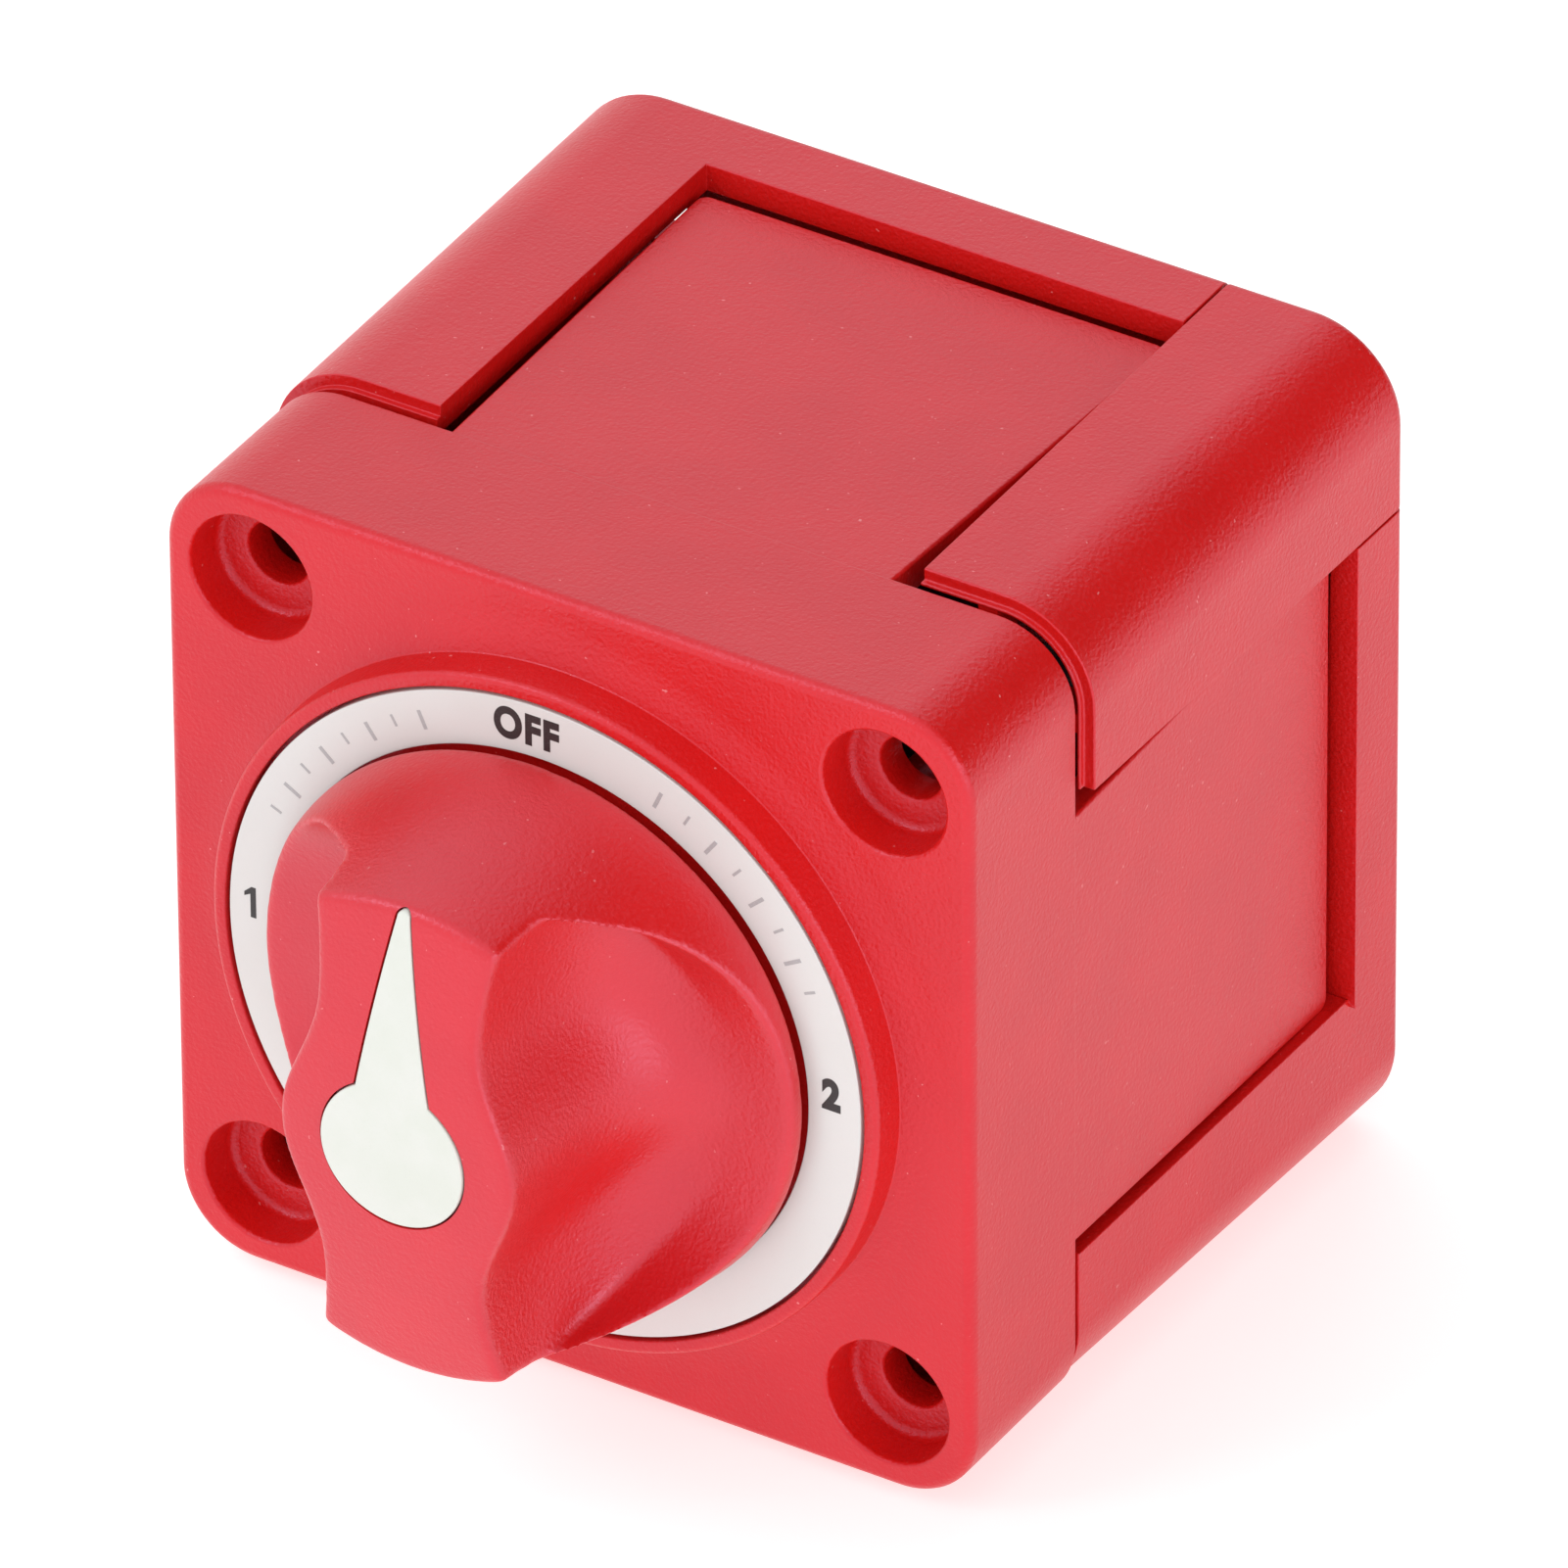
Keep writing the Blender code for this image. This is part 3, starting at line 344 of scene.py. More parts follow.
def move(piece, x, z):
    """Moves a body that was made round the knob's axis."""
    piece.data.transform(Matrix.Translation((x, 0, z)))


def edit(piece):
    release()
    piece.select_set(True)
    bpy.context.view_layer.objects.active = piece
    bpy.ops.object.mode_set(mode="EDIT")


def bevel_edges(piece, test, width, segments):
    """Rounds the edges whose two ends pass the test."""
    edit(piece)
    bpy.context.tool_settings.mesh_select_mode = (False, True, False)
    bpy.ops.mesh.select_all(action="DESELECT")
    bpy.ops.object.mode_set(mode="OBJECT")
    points = piece.data.vertices
    for edge in piece.data.edges:
        edge.select = test(points[edge.vertices[0]].co, points[edge.vertices[1]].co)
    bpy.ops.object.mode_set(mode="EDIT")
    bpy.ops.mesh.bevel(offset=width, offset_type="OFFSET", segments=segments, profile=0.5,
                       affect="EDGES")
    bpy.ops.object.mode_set(mode="OBJECT")


def lengthwise(a, b):
    """An edge that runs from front to back, also on a body that widens a little."""
    return abs(a.y - b.y) > 10 * (abs(a.x - b.x) + abs(a.z - b.z)) + 1e-9


def at_depth(y):
    """A test for the edges that lie at one depth."""
    return lambda a, b: abs(a.y - y) < 1e-7 and abs(b.y - y) < 1e-7


def apply(piece, modifier):
    release()
    piece.select_set(True)
    bpy.context.view_layer.objects.active = piece
    bpy.ops.object.modifier_apply(modifier=modifier.name)


def carve(piece, tool, operation="DIFFERENCE"):
    modifier = piece.modifiers.new("carve", "BOOLEAN")
    modifier.operation = operation
    modifier.solver = "EXACT"
    modifier.object = tool
    apply(piece, modifier)
    bpy.data.objects.remove(tool)
    return piece


def add(piece, tool):
    return carve(piece, tool, "UNION")


def soften(piece, width, segments=3, angle=30.0):
    """A small radius on every sharp edge, as a moulding tool leaves it."""
    modifier = piece.modifiers.new("soften", "BEVEL")
    modifier.width = width
    modifier.segments = segments
    modifier.limit_method = "ANGLE"
    modifier.angle_limit = math.radians(angle)
    modifier.use_clamp_overlap = True
    apply(piece, modifier)
    return piece


def smooth(piece, angle=40.0):
    release()
    piece.select_set(True)
    bpy.context.view_layer.objects.active = piece
    bpy.ops.object.shade_smooth_by_angle(angle=math.radians(angle))
    modifier = piece.modifiers.new("flats", "WEIGHTED_NORMAL")
    modifier.keep_sharp = True
    apply(piece, modifier)
    return piece


def red_nylon(name, grain_depth, dust, sheen=0.66):
    """Red moulded nylon with a spark-eroded grain and a few specks of dust."""
    recipe = Recipe(name)
    grain = recipe.noise(0.30 * MM, 2.0, 0.55)
    pits = recipe.cells(0.42 * MM)
    fine = recipe.noise(0.13 * MM, 2.0)
    cloud = recipe.noise(9 * MM, 3.0)
    flow = recipe.noise(28 * MM, 2.0)
    speck = recipe.step(recipe.noise(0.50 * MM, 1.0), 0.775, 0.80)
    colour = recipe.blend(recipe.step(cloud, 0.3, 0.7), (0.605, 0.0060, 0.0040),
                          (0.640, 0.0075, 0.0055))
    colour = recipe.blend(recipe.step(grain, 0.50, 0.80) * 0.08, colour, (0.80, 0.10, 0.11))
    colour = recipe.blend(speck * dust, colour, (0.90, 0.45, 0.46))
    height = grain + pits * 0.5 + fine * 0.25
    rough = recipe.step(grain, 0.3, 0.7) * 0.06 + flow * 0.06 + 0.30
    return recipe.finish(Base_Color=colour, Roughness=rough, IOR=1.50, Specular_IOR_Level=sheen,
                         Specular_Tint=(1.0, 0.72, 1.0, 1.0),
                         Normal=recipe.bump(height, grain_depth))


case_red = red_nylon("case_red", 0.055 * MM, 0.40)


def square_tube(name, half, corner, y0, y1, half_rear=None):
    """A square block with rounded corners, from y0 to y1, that may widen to the rear."""
    body = block(name, (-half, y0, -half), (half, y1, half))
    if half_rear is not None:
        for point in body.data.vertices:
            if point.co.y > (y0 + y1) / 2:
                point.co.x *= half_rear / half
                point.co.z *= half_rear / half
    bevel_edges(body, lengthwise, corner, 18)
    return body


def front_case():
    case = square_tube("front_case_moulding", case_half, case_corner, face, face + collar_depth)
    bevel_edges(case, at_depth(face), 0.9 * MM, 5)
    bevel_edges(case, at_depth(face + collar_depth), 0.24 * MM, 2)
    hollow = square_tube("hollow", case_half - side_wall, case_corner - side_wall,
                         face + front_wall, face + collar_depth + MM)
    carve(case, hollow)

    bezel = [(0.0, MM), (cove_outer, MM)]
    for k in range(9):
        reach = cove_width * k / 8
        bezel.append((cove_outer - reach, -cove_rise * (reach / cove_width) ** 2 + 0.003 * MM))
    bezel += [(bezel_radius + 0.10 * MM, -cove_rise), (bezel_radius + 0.02 * MM, -cove_rise - 0.08 * MM)]
    bezel += arc(bezel_radius - 0.55 * MM, -bezel_rise + 0.5 * MM, 0.5 * MM, 0, -90)
    bezel += arc(27.66 * MM, -bezel_rise + 0.16 * MM, 0.16 * MM, -90, -180, 3)
    bezel += [(27.5 * MM, -2.15 * MM), (0.0, -2.15 * MM)]
    add(case, spun("bezel", [(r, face + y) for r, y in bezel], 224))

    for k, (sx, sz) in enumerate(corners):
        x, z = sx * hole_place, sz * hole_place
        add(case, rod("boss", boss_radius, face + front_wall - 0.5 * MM, face + 6.8 * MM, x, z))
        hole = [(0.0, -MM), (5.6 * MM, -MM)]
        hole += arc(5.6 * MM, 0.38 * MM, 0.4 * MM, -90, -180, 4)
        hole += arc(4.5 * MM, 3.1 * MM, 0.7 * MM, 0, 90, 4)
        hole += arc(2.9 * MM, 4.1 * MM, 0.3 * MM, -90, -180, 3)
        hole += [(2.6 * MM, 8.0 * MM), (0.0, 8.0 * MM)]
        tool = spun("hole", [(r, face + y) for r, y in hole], 96)
        move(tool, x, z)
        carve(case, tool)

    add(case, rod("chamber", chamber_radius, face + 2.5 * MM, face + 9.0 * MM))
    room = [(room_inner, room_front), (room_outer, room_front), (room_outer, room_rear),
            (room_inner, room_rear)]
    carve(case, spun("room", [(r, face + y) for r, y in room], 96))
    carve(case, rod("bore", spindle_bore, face - 3.0 * MM, face + 10.0 * MM))
    return case


def panel(quarter):
    """A side panel: it narrows to the front, and its rear end lies lower than the rim."""
    front_half, rear_half = 18.9 * MM, 20.2 * MM
    y0, y1 = face + collar_depth - MM, face + 51.9 * MM
    plate = block("panel", (-rear_half, y0, case_half - 3.4 * MM), (rear_half, y1, case_half))
    for point in plate.data.vertices:
        low = 0.1 * MM
        if point.co.y > (y0 + y1) / 2:
            low = 0.5 * MM
        else:
            point.co.x *= front_half / rear_half
        point.co.z = point.co.z - low if point.co.z > case_half - MM else point.co.z + 0.6 * MM

    def rear_corners(a, b):
        return abs(a.x - b.x) < 1e-7 and at_depth(y1)(a, b)

    bevel_edges(plate, rear_corners, 1.0 * MM, 5)
    soften(plate, 0.28 * MM)
    ledge = block("ledge", (-rear_half + MM, y1 - MM, case_half - 2.6 * MM),
                  (rear_half - MM, y1 + 0.45 * MM, case_half - 1.35 * MM))
    add(plate, soften(ledge, 0.12 * MM))
    plate.data.transform(Matrix.Rotation(quarter * math.pi / 2, 4, "Y"))
    return plate


case = front_case()
for quarter in range(4):
    add(case, panel(quarter))
post_circle = 29.55 * MM
post_turn = math.radians(38.0)
for sx, sz in corners:
    x, z = sx * post_circle * math.cos(post_turn), sz * post_circle * math.sin(post_turn)
    add(case, rod("post", 3.0 * MM, face + 2.5 * MM, face + 24.7 * MM, x, z, 32))
    carve(case, rod("pilot", 1.5 * MM, face + 12.7 * MM, face + 25.5 * MM, x, z, 24))
smooth(case, 32.0)
case.data.materials.append(case_red)
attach(case, "case")
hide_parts("front_case")


# ---------------------------------------------------------------- rear cover and corner cover
# The rear cover is a shallow box in the same nylon: a plate with a raised rim and three corner
# posts that reach forward to the collar; the lower right one closes flush against it. The
# fourth post is a loose L-shaped cover that clips over the upper right corner.
flush_front = face + 14.95 * MM
flush_shift = 0.60 * MM
cover_front = face + 15.7 * MM
seam = 0.16 * MM
cover_half = 35.2 * MM
cover_half_rear = 35.6 * MM
cover_corner = 7.6 * MM
cover_wall = 2.4 * MM
cover_floor = 3.0 * MM
thin_wall = 1.25 * MM
rim_front = face + 53.4 * MM
window_half = 20.7 * MM
far = 90.0 * MM


def cover_form(name, inset, y0, y1):
    return square_tube(name, cover_half - inset, cover_corner - inset, y0, y1,
                       cover_half_rear - inset)


def cover_blank(name, floor):
    """The whole box, open to the front, with a rear wall as thick as floor."""
    blank = cover_form(name, 0.0, flush_front, 0.0)
    bevel_edges(blank, at_depth(0.0), 0.9 * MM, 5)
    return carve(blank, cover_form("hollow", cover_wall, flush_front - MM, -floor))


def stepped(piece, x0, x1, z0, z1):
    """Takes the post ends in this area back, and leaves a thin lip inside."""
    y = flush_front - MM
    carve(piece, block("trim", (x0, y, z0), (x1, cover_front, z1)))
    lip = block("lip", (x0, y, z0), (x1, cover_front + 0.5 * MM, z1))
    carve(lip, cover_form("core", 0.95 * MM, y - MM, MM))
    return carve(piece, lip)


def corner_zone(edge):
    return block("zone", (edge, flush_front - MM, edge), (far, MM, far))


def ribs(piece, sx, sz):
    """Two short ribs that stiffen the front end of a post, one on each wall."""
    start, end = window_half + 4.9 * MM, window_half + 6.5 * MM
    inner, outer = 30.4 * MM, cover_half - 1.1 * MM
    y0, y1 = cover_front + 0.1 * MM, cover_front + 3.0 * MM
    x0, x1 = sorted((sx * start, sx * end))
    z0, z1 = sorted((sz * inner, sz * outer))
    add(piece, block("rib", (x0, y0, z0), (x1, y1, z1)))
    x0, x1 = sorted((sx * inner, sx * outer))
    z0, z1 = sorted((sz * start, sz * end))
    add(piece, block("rib", (x0, y0, z0), (x1, y1, z1)))


def rear_cover():
    cover = cover_blank("rear_cover_moulding", cover_floor)
    front = flush_front - MM
    carve(cover, block("window", (-window_half, front, -far), (window_half, rim_front, far)))
    carve(cover, block("window", (-far, front, -window_half), (far, rim_front, window_half)))
    stepped(cover, -far, 0.0, -far, far)
    zone = corner_zone(window_half - seam)
    carve(zone, cover_form("core", cover_wall + seam, front - MM, 2 * MM))
    carve(cover, zone)
    for sx, sz in corners:
        carve(cover, rod("hole", 2.6 * MM, -4 * MM, MM, sx * hole_place, sz * hole_place, 48))
    soften(cover, 0.18 * MM)
    for point in cover.data.vertices:
        if point.co.x > window_half and point.co.z < -window_half:
            share = min(point.co.y / rim_front, 1.0)
            point.co.x -= flush_shift * share
            point.co.z += flush_shift * share
    for sx, sz in corners[1:3]:
        ribs(cover, sx, sz)
    return cover


def corner_cover():
    cover = cover_blank("corner_cover_moulding", -1.0 * MM)
    carve(cover, square_tube("thin_end", cover_half - thin_wall, cover_corner - thin_wall,
                             flush_front - MM, cover_front + 7.0 * MM))
    carve(cover, corner_zone(window_half), "INTERSECT")
    stepped(cover, 0.0, far, 0.0, far)
    soften(cover, 0.18 * MM)
    ribs(cover, 1, 1)
    return cover


rear = rear_cover()
smooth(rear, 32.0)
rear.data.materials.append(case_red)
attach(rear, "rear_cover_body")
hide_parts("rear_cover")

loose = corner_cover()
smooth(loose, 32.0)
loose.data.materials.append(case_red)
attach(loose, "corner_cover_body")
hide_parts("corner_cover")


# ---------------------------------------------------------------- dial label
# A printed white ring of polyester film lies in the bezel. The print is black ink for the three
# positions and grey ink for the scale marks.
dial_face = face - 3.55 * MM


def label_film():
    recipe = Recipe("label_film")
    tooth = recipe.noise(0.22 * MM, 3.0)
    stain = recipe.noise(14 * MM, 3.0)
    colour = recipe.blend(recipe.step(stain, 0.35, 0.75), (0.715, 0.725, 0.715), (0.690, 0.695, 0.680))
    colour = recipe.blend(recipe.step(tooth, 0.5, 0.8) * 0.12, colour, (0.61, 0.60, 0.60))
    return recipe.finish(Base_Color=colour, Roughness=tooth * 0.10 + 0.30,
                         Normal=recipe.bump(tooth, 0.006 * MM))


def ink(name, colour, faded):
    recipe = Recipe(name)
    worn = recipe.step(recipe.noise(0.12 * MM, 3.0), 0.50, 0.72)
    shade = recipe.blend(worn * 0.35, colour, faded)
    return recipe.finish(Base_Color=shade, Roughness=worn * 0.15 + 0.40)


label_inner, label_outer, label_edge = 22.7 * MM, 27.2 * MM, 0.1 * MM
recess_depth = 0.75 * MM
label_rear = dial_face + 1.1 * MM
ring = arc(label_inner + label_edge, dial_face + label_edge, label_edge, 180, 270, 3)
ring += arc(label_outer - label_edge, dial_face + label_edge, label_edge, -90, 0, 3)
ring += [(label_outer, label_rear), (label_inner, label_rear)]
label = spun("dial_label_ring", ring, 224)
smooth(label)
label.data.materials.append(label_film())
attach(label, "case")
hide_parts("dial_label")

# The knob's skirt turns in a shallow red recess inside the label.
recess = [(12.0 * MM, dial_face + recess_depth), (label_inner - 0.05 * MM, dial_face + recess_depth),
          (label_inner - 0.05 * MM, label_rear), (12.0 * MM, label_rear)]
recess_ring = spun("dial_recess", recess, 224)
soften(recess_ring, 0.02 * MM, 2)
smooth(recess_ring)
recess_ring.data.materials.append(case_red)
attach(recess_ring, "case")

ink_height = 0.02 * MM
black_ink = ink("black_ink", (0.022, 0.019, 0.020), (0.10, 0.09, 0.09))
grey_ink = ink("grey_ink", (0.42, 0.42, 0.43), (0.60, 0.60, 0.61))


def printed(name, text, x, z, height, width, weight):
    """Ink letters that stand upright on the dial."""
    curve = bpy.data.curves.new(name, "FONT")
    curve.body = text
    curve.align_x = "CENTER"
    curve.align_y = "CENTER"
    curve.offset = weight
    curve.space_character = 1.14
    curve.extrude = 0.01
    letters = bpy.data.objects.new(name, curve)
    bpy.context.scene.collection.objects.link(letters)
    release()
    letters.select_set(True)
    bpy.context.view_layer.objects.active = letters
    bpy.ops.object.convert(target="MESH")
    letters = bpy.context.active_object
    points = [v.co for v in letters.data.vertices]
    low = Vector((min(p.x for p in points), min(p.y for p in points), 0.0))
    high = Vector((max(p.x for p in points), max(p.y for p in points), 0.0))
    for point in letters.data.vertices:
        share_x = (point.co.x - low.x) / (high.x - low.x) - 0.5
        share_z = (point.co.y - low.y) / (high.y - low.y) - 0.5
        lift = ink_height if point.co.z > 0 else 0.0
        point.co = (x + share_x * width, dial_face - lift, z + share_z * height)
    letters.data.materials.append(black_ink)
    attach(letters, "case")
    return letters


printed("print_off", "OFF", -1.1 * MM, 25.0 * MM, 2.8 * MM, 5.6 * MM, 0.048)
printed("print_2", "2", 24.7 * MM, 1.8 * MM, 2.8 * MM, 1.6 * MM, 0.055)


def inked(name, outline, material):
    """A flat patch of ink from its outline of (x, z) points."""
    patch = drawn(name, [(x, dial_face, z) for x, z in outline + outline[:1]], filled=True)
    edit(patch)
    bpy.ops.mesh.select_all(action="SELECT")
    bpy.ops.mesh.extrude_region_move(TRANSFORM_OT_translate={"value": (0, -ink_height, 0)})
    bpy.ops.mesh.select_all(action="SELECT")
    bpy.ops.mesh.normals_make_consistent(inside=False)
    bpy.ops.object.mode_set(mode="OBJECT")
    patch.data.materials.append(material)
    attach(patch, "case")
    return patch


one_x, one_z = -25.25 * MM, 1.1 * MM
one_outline = [(0.38, -1.35), (0.38, 1.35), (0.0, 1.35), (-0.62, 0.78), (-0.62, 0.42), (-0.10, 0.72),
               (-0.10, -1.35)]
inked("print_1", [(one_x + x * MM, one_z + z * MM) for x, z in one_outline], black_ink)

# Two fans of grey ticks stand for the travel from off to each position.
tick_turns = [24 + 6 * k for k in range(8)]
for side, label_side in ((1, "right"), (-1, "left")):
    for k, turn in enumerate(tick_turns):
        a = math.radians(90 - side * turn)
        half = (0.16 if k % 2 == 0 else 0.11) * MM
        inner, outer = (24.0 if k % 2 == 0 else 24.6) * MM, 25.6 * MM
        across = Vector((-math.sin(a), math.cos(a))) * half
        near, end = Vector((math.cos(a), math.sin(a))) * inner, Vector((math.cos(a), math.sin(a))) * outer
        outline = [tuple(near - across), tuple(end - across), tuple(end + across), tuple(near + across)]
        inked("tick_%s_%d" % (label_side, k + 1), outline, grey_ink)


# ---------------------------------------------------------------- knob
# The knob is a red moulding too, in a slightly smoother finish: a blunt cone with a finger
# scoop in each side, which leaves a waisted grip between them. A pale pointer is set
# into the grip's crowned face, and a squared socket behind takes the spindle.
knob_under = face - 4.1 * MM
knob_top = 24.55 * MM
crown_drop = 2.4 * MM
shoulder = 20.45 * MM
scoop_middle = 21.5 * MM
scoop_reach = 19.8 * MM
scoop_floor = 5.9 * MM
scoop_power = 3.4
belly, waist, grip_end = 10.0 * MM, 6.9 * MM, 8.0 * MM
waist_place = 11.5 * MM
skirt_radius = 22.85 * MM


def crown(r):
    return face - (knob_top - crown_drop * (r / shoulder) ** 2)


def grip_half(z):
    """Half-width of the grip's face: a belly in the middle, two waists and wider ends."""
    reach = abs(z)
    if reach < waist_place:
        return waist + (belly - waist) * (0.5 + 0.5 * math.cos(math.pi * reach / waist_place))
    share = (reach - waist_place) / (scoop_reach - waist_place)
    return waist + (grip_end - waist) * share ** 2


def scoop(side, around=72, levels=40):
    """The finger bowl: its mouth is extruded inwards and shrinks towards the deepest point."""
    mouth = []
    for k in range(around + 1):
        z = scoop_reach * math.sin(math.pi * (k / around - 0.5))
        mouth.append((grip_half(z), z))
    outer = skirt_radius + 9 * MM
    for k in range(1, 9):
        mouth.append((outer, scoop_reach * (1 - k / 4.5)))
    top, floor = face - knob_top - 2 * MM, face - scoop_floor
    tool = drawn("scoop", [(side * x, top, z) for x, z in mouth + mouth[:1]], filled=True)
    edit(tool)
    bpy.ops.mesh.select_all(action="SELECT")
    last_size, last_level = 1.0, 0.0
    for k in range(1, levels + 1):
        level = math.sin(math.pi / 2 * k / levels)
        size = max((1.0 - level ** scoop_power) ** (1.0 / scoop_power), 0.02)
        bpy.ops.mesh.extrude_region_move(
            TRANSFORM_OT_translate={"value": (0, (floor - top) * (level - last_level), 0)})
        bpy.ops.transform.resize(value=(size / last_size, 1.0, size / last_size),
                                 center_override=(side * scoop_middle, 0, 0))
        last_size, last_level = size, level
    bpy.ops.mesh.select_all(action="SELECT")
    bpy.ops.mesh.normals_make_consistent(inside=False)
    bpy.ops.object.mode_set(mode="OBJECT")
    return tool


def pointer_form(name, grow, front, rear):
    """The pointer's outline, between two depths under the crowned face of the grip."""
    radius, root, tip = 6.05 * MM + grow, 3.1 * MM + grow, 0.55 * MM + grow
    start = math.degrees(math.acos(root / radius))
    outline = arc(0.0, 0.0, radius, start, -180 - start, 64)
    outline += arc(0.0, 20.3 * MM + grow - tip, tip, 180, 0, 12)
    outline.append(outline[0])
    piece = drawn(name, [(x, 0.0, z) for x, z in outline], filled=True)
    edit(piece)
    bpy.ops.mesh.select_all(action="SELECT")
    bpy.ops.mesh.extrude_region_move(TRANSFORM_OT_translate={"value": (0, MM, 0)})
    for k in range(-5, 20):
        bpy.ops.mesh.select_all(action="SELECT")
        bpy.ops.mesh.bisect(plane_co=(0, 0, k * MM), plane_no=(0, 0, 1))
    bpy.ops.mesh.select_all(action="SELECT")
    bpy.ops.mesh.normals_make_consistent(inside=False)
    bpy.ops.object.mode_set(mode="OBJECT")
    for point in piece.data.vertices:
        point.co.y = crown(point.co.z) + (front if point.co.y < MM / 2 else rear)
    return piece


def knob():
    profile = [(0.0, knob_under), (22.6 * MM, knob_under)]
    profile += arc(22.6 * MM, knob_under - 0.25 * MM, 0.25 * MM, 90, 0, 3)
    profile += [(skirt_radius, knob_under - 1.1 * MM)]
    slope = [(22.85 - 2.25 * k / 8, -5.2 - 16.1 * k / 8) for k in range(1, 9)]
    profile += [(r * MM, face + y * MM) for r, y in slope]
    profile += arc(19.75 * MM, crown(19.75 * MM) + 0.9 * MM, 0.9 * MM, -10, -84, 5)
    profile += [(19.6 * MM * (1 - k / 12), crown(19.6 * MM * (1 - k / 12))) for k in range(13)]
    body = spun("knob_moulding", profile, 256)
    for side in (1, -1):
        carve(body, scoop(side))
    remesh = body.modifiers.new("skin", "REMESH")
    remesh.mode = "VOXEL"
    remesh.voxel_size = 0.20 * MM
    apply(body, remesh)
    relax = body.modifiers.new("relax", "SMOOTH")
    relax.factor = 0.5
    relax.iterations = 55
    apply(body, relax)
    thin = body.modifiers.new("thin", "DECIMATE")
    thin.ratio = 0.50
    apply(body, thin)
    for side in (1, -1):
        z0, z1 = sorted((side * 7.5 * MM, side * 16.0 * MM))
        carve(body, block("hollow", (-3.6 * MM, face - 18.65 * MM, z0),
                          (3.6 * MM, knob_under + MM, z1)))
    carve(body, block("socket", (-4.3 * MM, face - 16.8 * MM, -4.3 * MM),
                      (4.3 * MM, knob_under + MM, 4.3 * MM)))
    well = [(0.0, -26.0), (3.9, -26.0), (3.9, -20.25), (1.95, -20.25), (1.95, -16.0), (0.0, -16.0)]
    carve(body, spun("well", [(r * MM, face + y * MM) for r, y in well], 64))
    carve(body, pointer_form("seat", 0.16 * MM, -MM, 1.3 * MM))
    return body


knob_red = red_nylon("knob_red", 0.045 * MM, 0.25, 0.95)
grip = knob()
smooth(grip, 50.0)
grip.data.materials.append(knob_red)
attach(grip, "knob_rotor")
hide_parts("knob")


# ---------------------------------------------------------------- pointer insert
# The pointer is a separate moulding in pale, slightly green plastic that is pressed into the
# grip. It lies a hair proud of the red plastic and has a soft edge.
def pointer_plastic():
    recipe = Recipe("pointer_plastic")
    grain = recipe.noise(0.20 * MM, 3.0, 0.6)
    milk = recipe.noise(5 * MM, 3.0)
    colour = recipe.blend(recipe.step(milk, 0.35, 0.7), (0.675, 0.695, 0.640), (0.705, 0.715, 0.675))
    colour = recipe.blend(recipe.step(grain, 0.5, 0.8) * 0.15, colour, (0.58, 0.61, 0.52))
    return recipe.finish(Base_Color=colour, Roughness=grain * 0.12 + 0.34, Specular_IOR_Level=0.5,
                         Normal=recipe.bump(grain, 0.014 * MM))


pointer = pointer_form("pointer_moulding", 0.0, 0.0, 1.0 * MM)
soften(pointer, 0.12 * MM, 3, 50.0)
smooth(pointer, 40.0)
pointer.data.materials.append(pointer_plastic())
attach(pointer, "knob_rotor")
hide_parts("pointer_insert")


# ---------------------------------------------------------------- terminals
# Three M10 studs of tin-plated copper stand in the base. Each carries a flat washer, a spring
# washer and a stainless nut, chamfered on both faces, that clamps the cable lug.
terminals = ("1", "2", "common")
stud_radius = 5.0 * MM
stud_root = 4.2 * MM
stud_pitch = 1.5 * MM
stud_pad = 4.0 * MM
stud_pad_height = 0.9 * MM
stud_flange = 6.6 * MM
stud_flange_thickness = 1.5 * MM
nut_corner = 16.0 * MM / math.sqrt(3)


def metal(name, dull, bright, rough, scratch_depth):
    """Metal with fine turning lines, a few stains and a roughness that wanders."""
    recipe = Recipe(name)
    lines = recipe.node("ShaderNodeMapping", {}, {"Vector": recipe.place,
                                                  "Scale": (1.0, 14.0, 1.0)})
    turned = recipe.noise(0.45 * MM, 3.0, 0.6, lines)
    stain = recipe.step(recipe.noise(4.5 * MM, 4.0), 0.35, 0.75)
    colour = recipe.blend(stain, bright, dull)
    return recipe.finish(Base_Color=colour, Metallic=1.0,
                         Roughness=turned * 0.12 + stain * 0.14 + rough,
                         Normal=recipe.bump(turned, scratch_depth))


stainless = metal("stainless", (0.46, 0.46, 0.45), (0.62, 0.62, 0.61), 0.20, 0.008 * MM)
tinned = metal("tinned_copper", (0.55, 0.54, 0.50), (0.74, 0.73, 0.69), 0.26, 0.010 * MM)


def threaded_stud(name, y0, y1):
    """A pad, a flange and a shank whose surface follows a helix with a V-shaped groove."""
    shank = y0 + stud_pad_height + stud_flange_thickness
    rings = 6 * round((y1 - shank - 1.5 * MM) / stud_pitch)
    step = (y1 - 0.8 * MM - shank) / rings
    profile = [(0.0, y0), (stud_pad, y0), (stud_pad, y0 + stud_pad_height),
               (stud_flange, y0 + stud_pad_height), (stud_flange, shank)]
    profile += [(stud_radius, shank + k * step) for k in range(rings + 1)]
    profile += [(stud_radius - 0.9 * MM, y1), (0.0, y1)]
    stud = spun(name, profile, 72)
    for point in stud.data.vertices:
        reach = math.hypot(point.co.x, point.co.z)
        if shank + MM < point.co.y < y1 - 0.1 * MM and reach > stud_pad:
            turn = math.atan2(point.co.z, point.co.x) / (2 * math.pi)
            phase = (point.co.y / stud_pitch + turn) % 1.0
            groove = (stud_radius - stud_root) * (1.0 - abs(2.0 * phase - 1.0))
            scale = (stud_radius - groove) / reach
            point.co.x *= scale
            point.co.z *= scale
    return stud


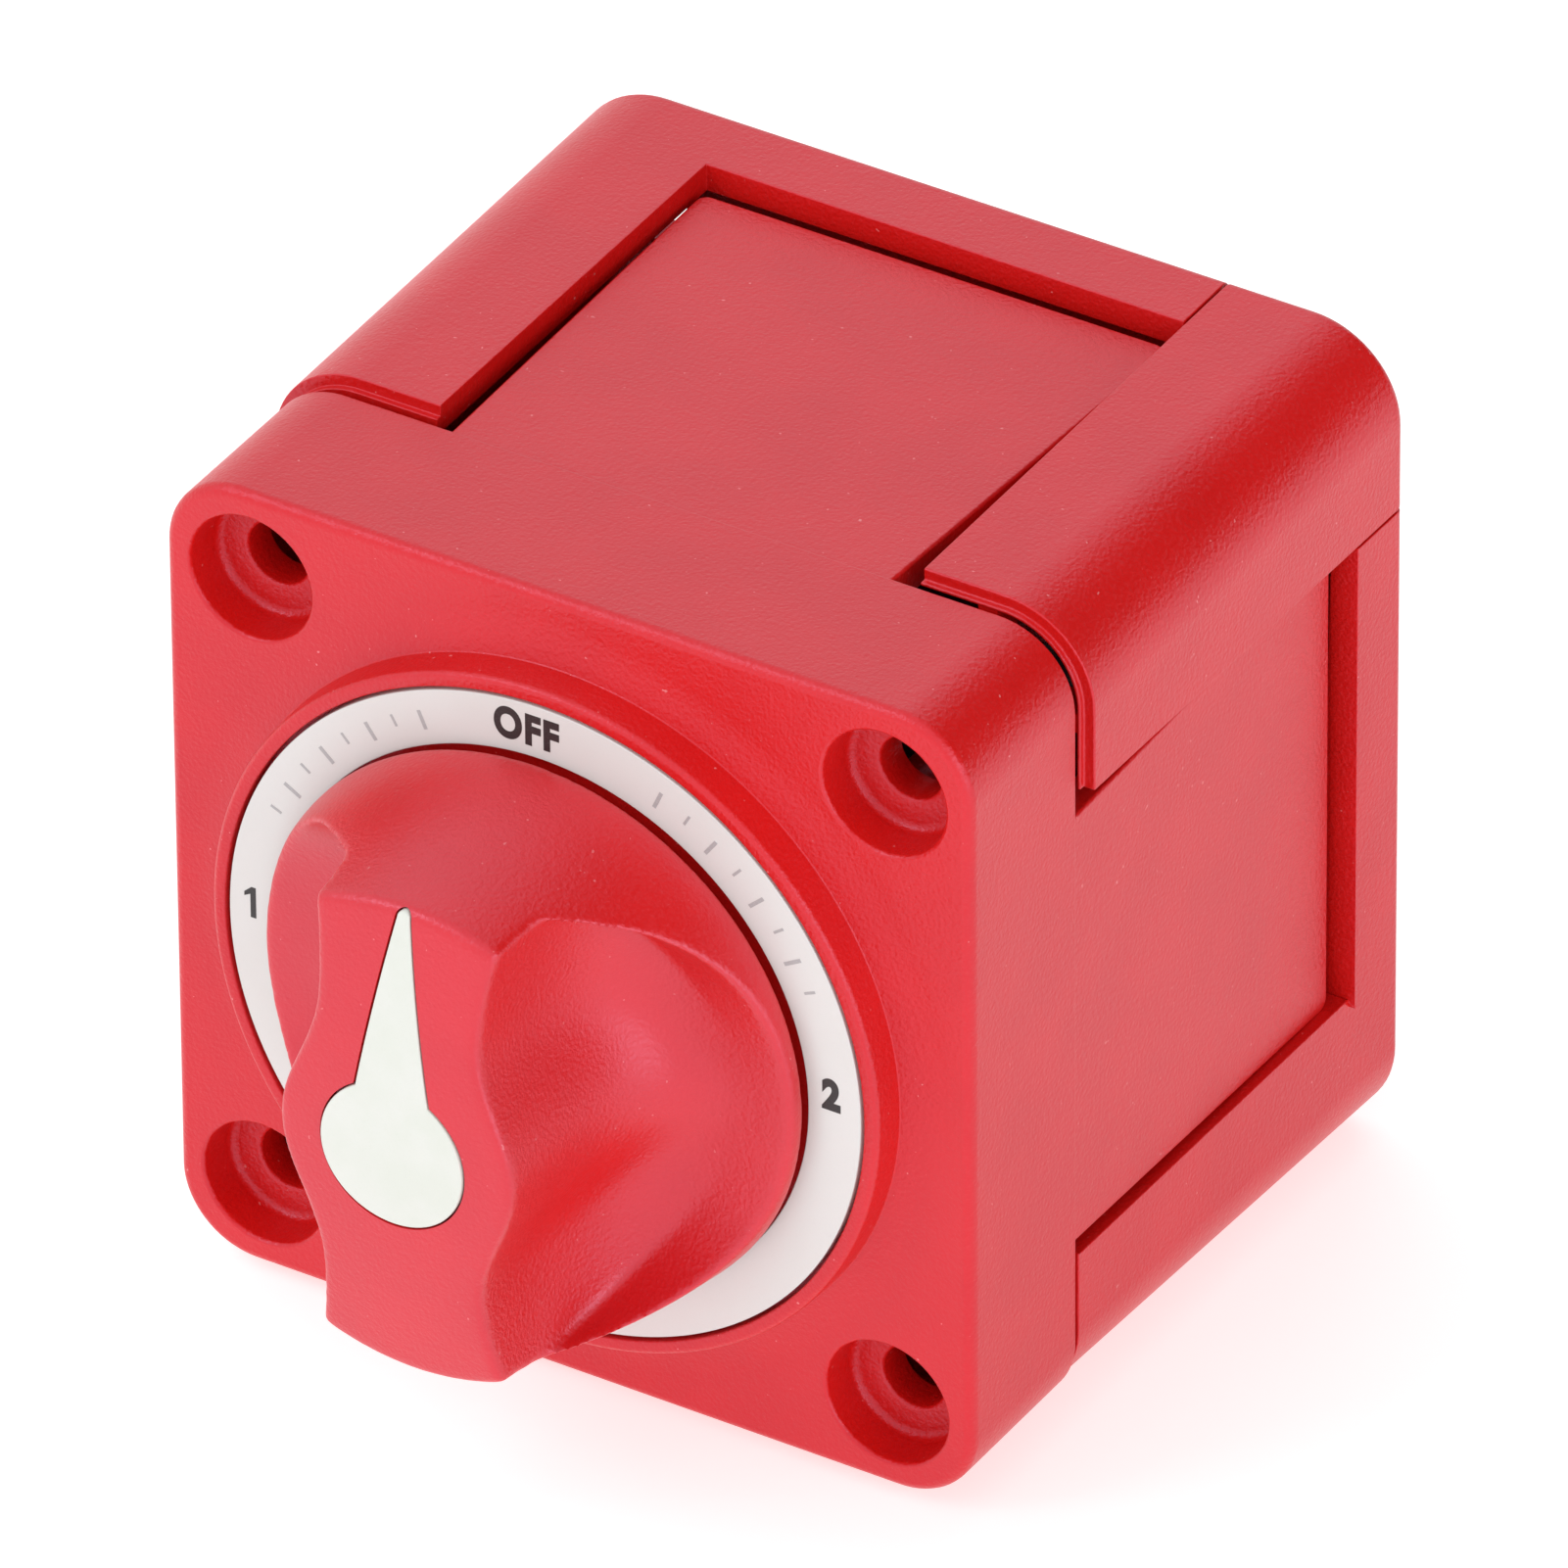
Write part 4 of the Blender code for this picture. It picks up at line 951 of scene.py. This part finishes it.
def hexagon_nut(name, y0, y1):
    release()
    bpy.ops.mesh.primitive_cylinder_add(vertices=6, radius=nut_corner, depth=y1 - y0,
                                        location=(0, (y0 + y1) / 2, 0),
                                        rotation=(math.pi / 2, 0, 0))
    nut = settle(name)
    flat, corner, drop = 7.75 * MM, 9.5 * MM, 1.0 * MM
    form = [(0.0, y0), (flat, y0), (corner, y0 + drop), (corner, y1 - drop), (flat, y1), (0.0, y1)]
    carve(nut, spun("chamfer", form, 96), "INTERSECT")
    mouth, bore = stud_radius + 0.8 * MM, stud_radius + 0.25 * MM
    hole = [(0.0, y0 - MM), (mouth, y0 - MM), (mouth, y0), (bore, y0 + 0.55 * MM),
            (bore, y1 - 0.55 * MM), (mouth, y1), (mouth, y1 + MM), (0.0, y1 + MM)]
    carve(nut, spun("hole", hole, 72))
    return soften(nut, 0.10 * MM, 2)


for terminal in terminals:
    for node, make, finish, slot, angle in (
            ("terminal_stud_" + terminal, threaded_stud, tinned, "tinned_copper", 75.0),
            ("terminal_nut_" + terminal, hexagon_nut, stainless, "steel", 30.0)):
        low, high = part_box(node)
        piece = make(node + "_metal", low.y, high.y)
        move(piece, (low.x + high.x) / 2, (low.z + high.z) / 2)
        smooth(piece, angle)
        piece.data.materials.append(finish)
        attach(piece, "case")
        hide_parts(node)


# ---------------------------------------------------------------- inside
# The working parts behind the dial keep the shapes that their fits need: a black glass-filled
# nylon base and rotor, rubber seals, stainless steel fasteners and springs, a bare copper
# bridge and tin-plated copper studs.
def filled_nylon():
    """Black glass-filled nylon: short pale fibres show faintly in a satin skin."""
    recipe = Recipe("filled_nylon")
    fibre_place = recipe.node("ShaderNodeMapping", {}, {"Vector": recipe.place,
                                                        "Scale": (1.0, 0.25, 2.2)})
    fibre = recipe.step(recipe.noise(0.22 * MM, 2.0, 0.5, fibre_place), 0.60, 0.72)
    grain = recipe.noise(0.30 * MM, 3.0)
    colour = recipe.blend(fibre * 0.5, (0.020, 0.020, 0.022), (0.075, 0.075, 0.080))
    return recipe.finish(Base_Color=colour, Roughness=grain * 0.16 + 0.40,
                         Normal=recipe.bump(grain + fibre * 0.3, 0.02 * MM))


def rubber():
    """Black seal rubber, matt with a bloom of talc."""
    recipe = Recipe("rubber")
    bloom = recipe.step(recipe.noise(1.2 * MM, 4.0), 0.45, 0.75)
    grain = recipe.noise(0.18 * MM, 2.0)
    colour = recipe.blend(bloom * 0.4, (0.016, 0.016, 0.016), (0.070, 0.068, 0.064))
    return recipe.finish(Base_Color=colour, Roughness=bloom * 0.12 + 0.66,
                         Normal=recipe.bump(grain, 0.015 * MM))


copper = metal("copper", (0.56, 0.24, 0.13), (0.76, 0.37, 0.22), 0.18, 0.008 * MM)
filled = filled_nylon()
seal = rubber()
finishes = {
    "steel": stainless, "copper": copper, "tinned_copper": tinned, "black_nylon": filled,
    "seal_rubber": seal}
for part in frame["record"]["subparts"]:
    finish = finishes.get(part["material_slot"])
    if finish is not None:
        for slot in bpy.data.objects[part["node"]].material_slots:
            slot.material = finish
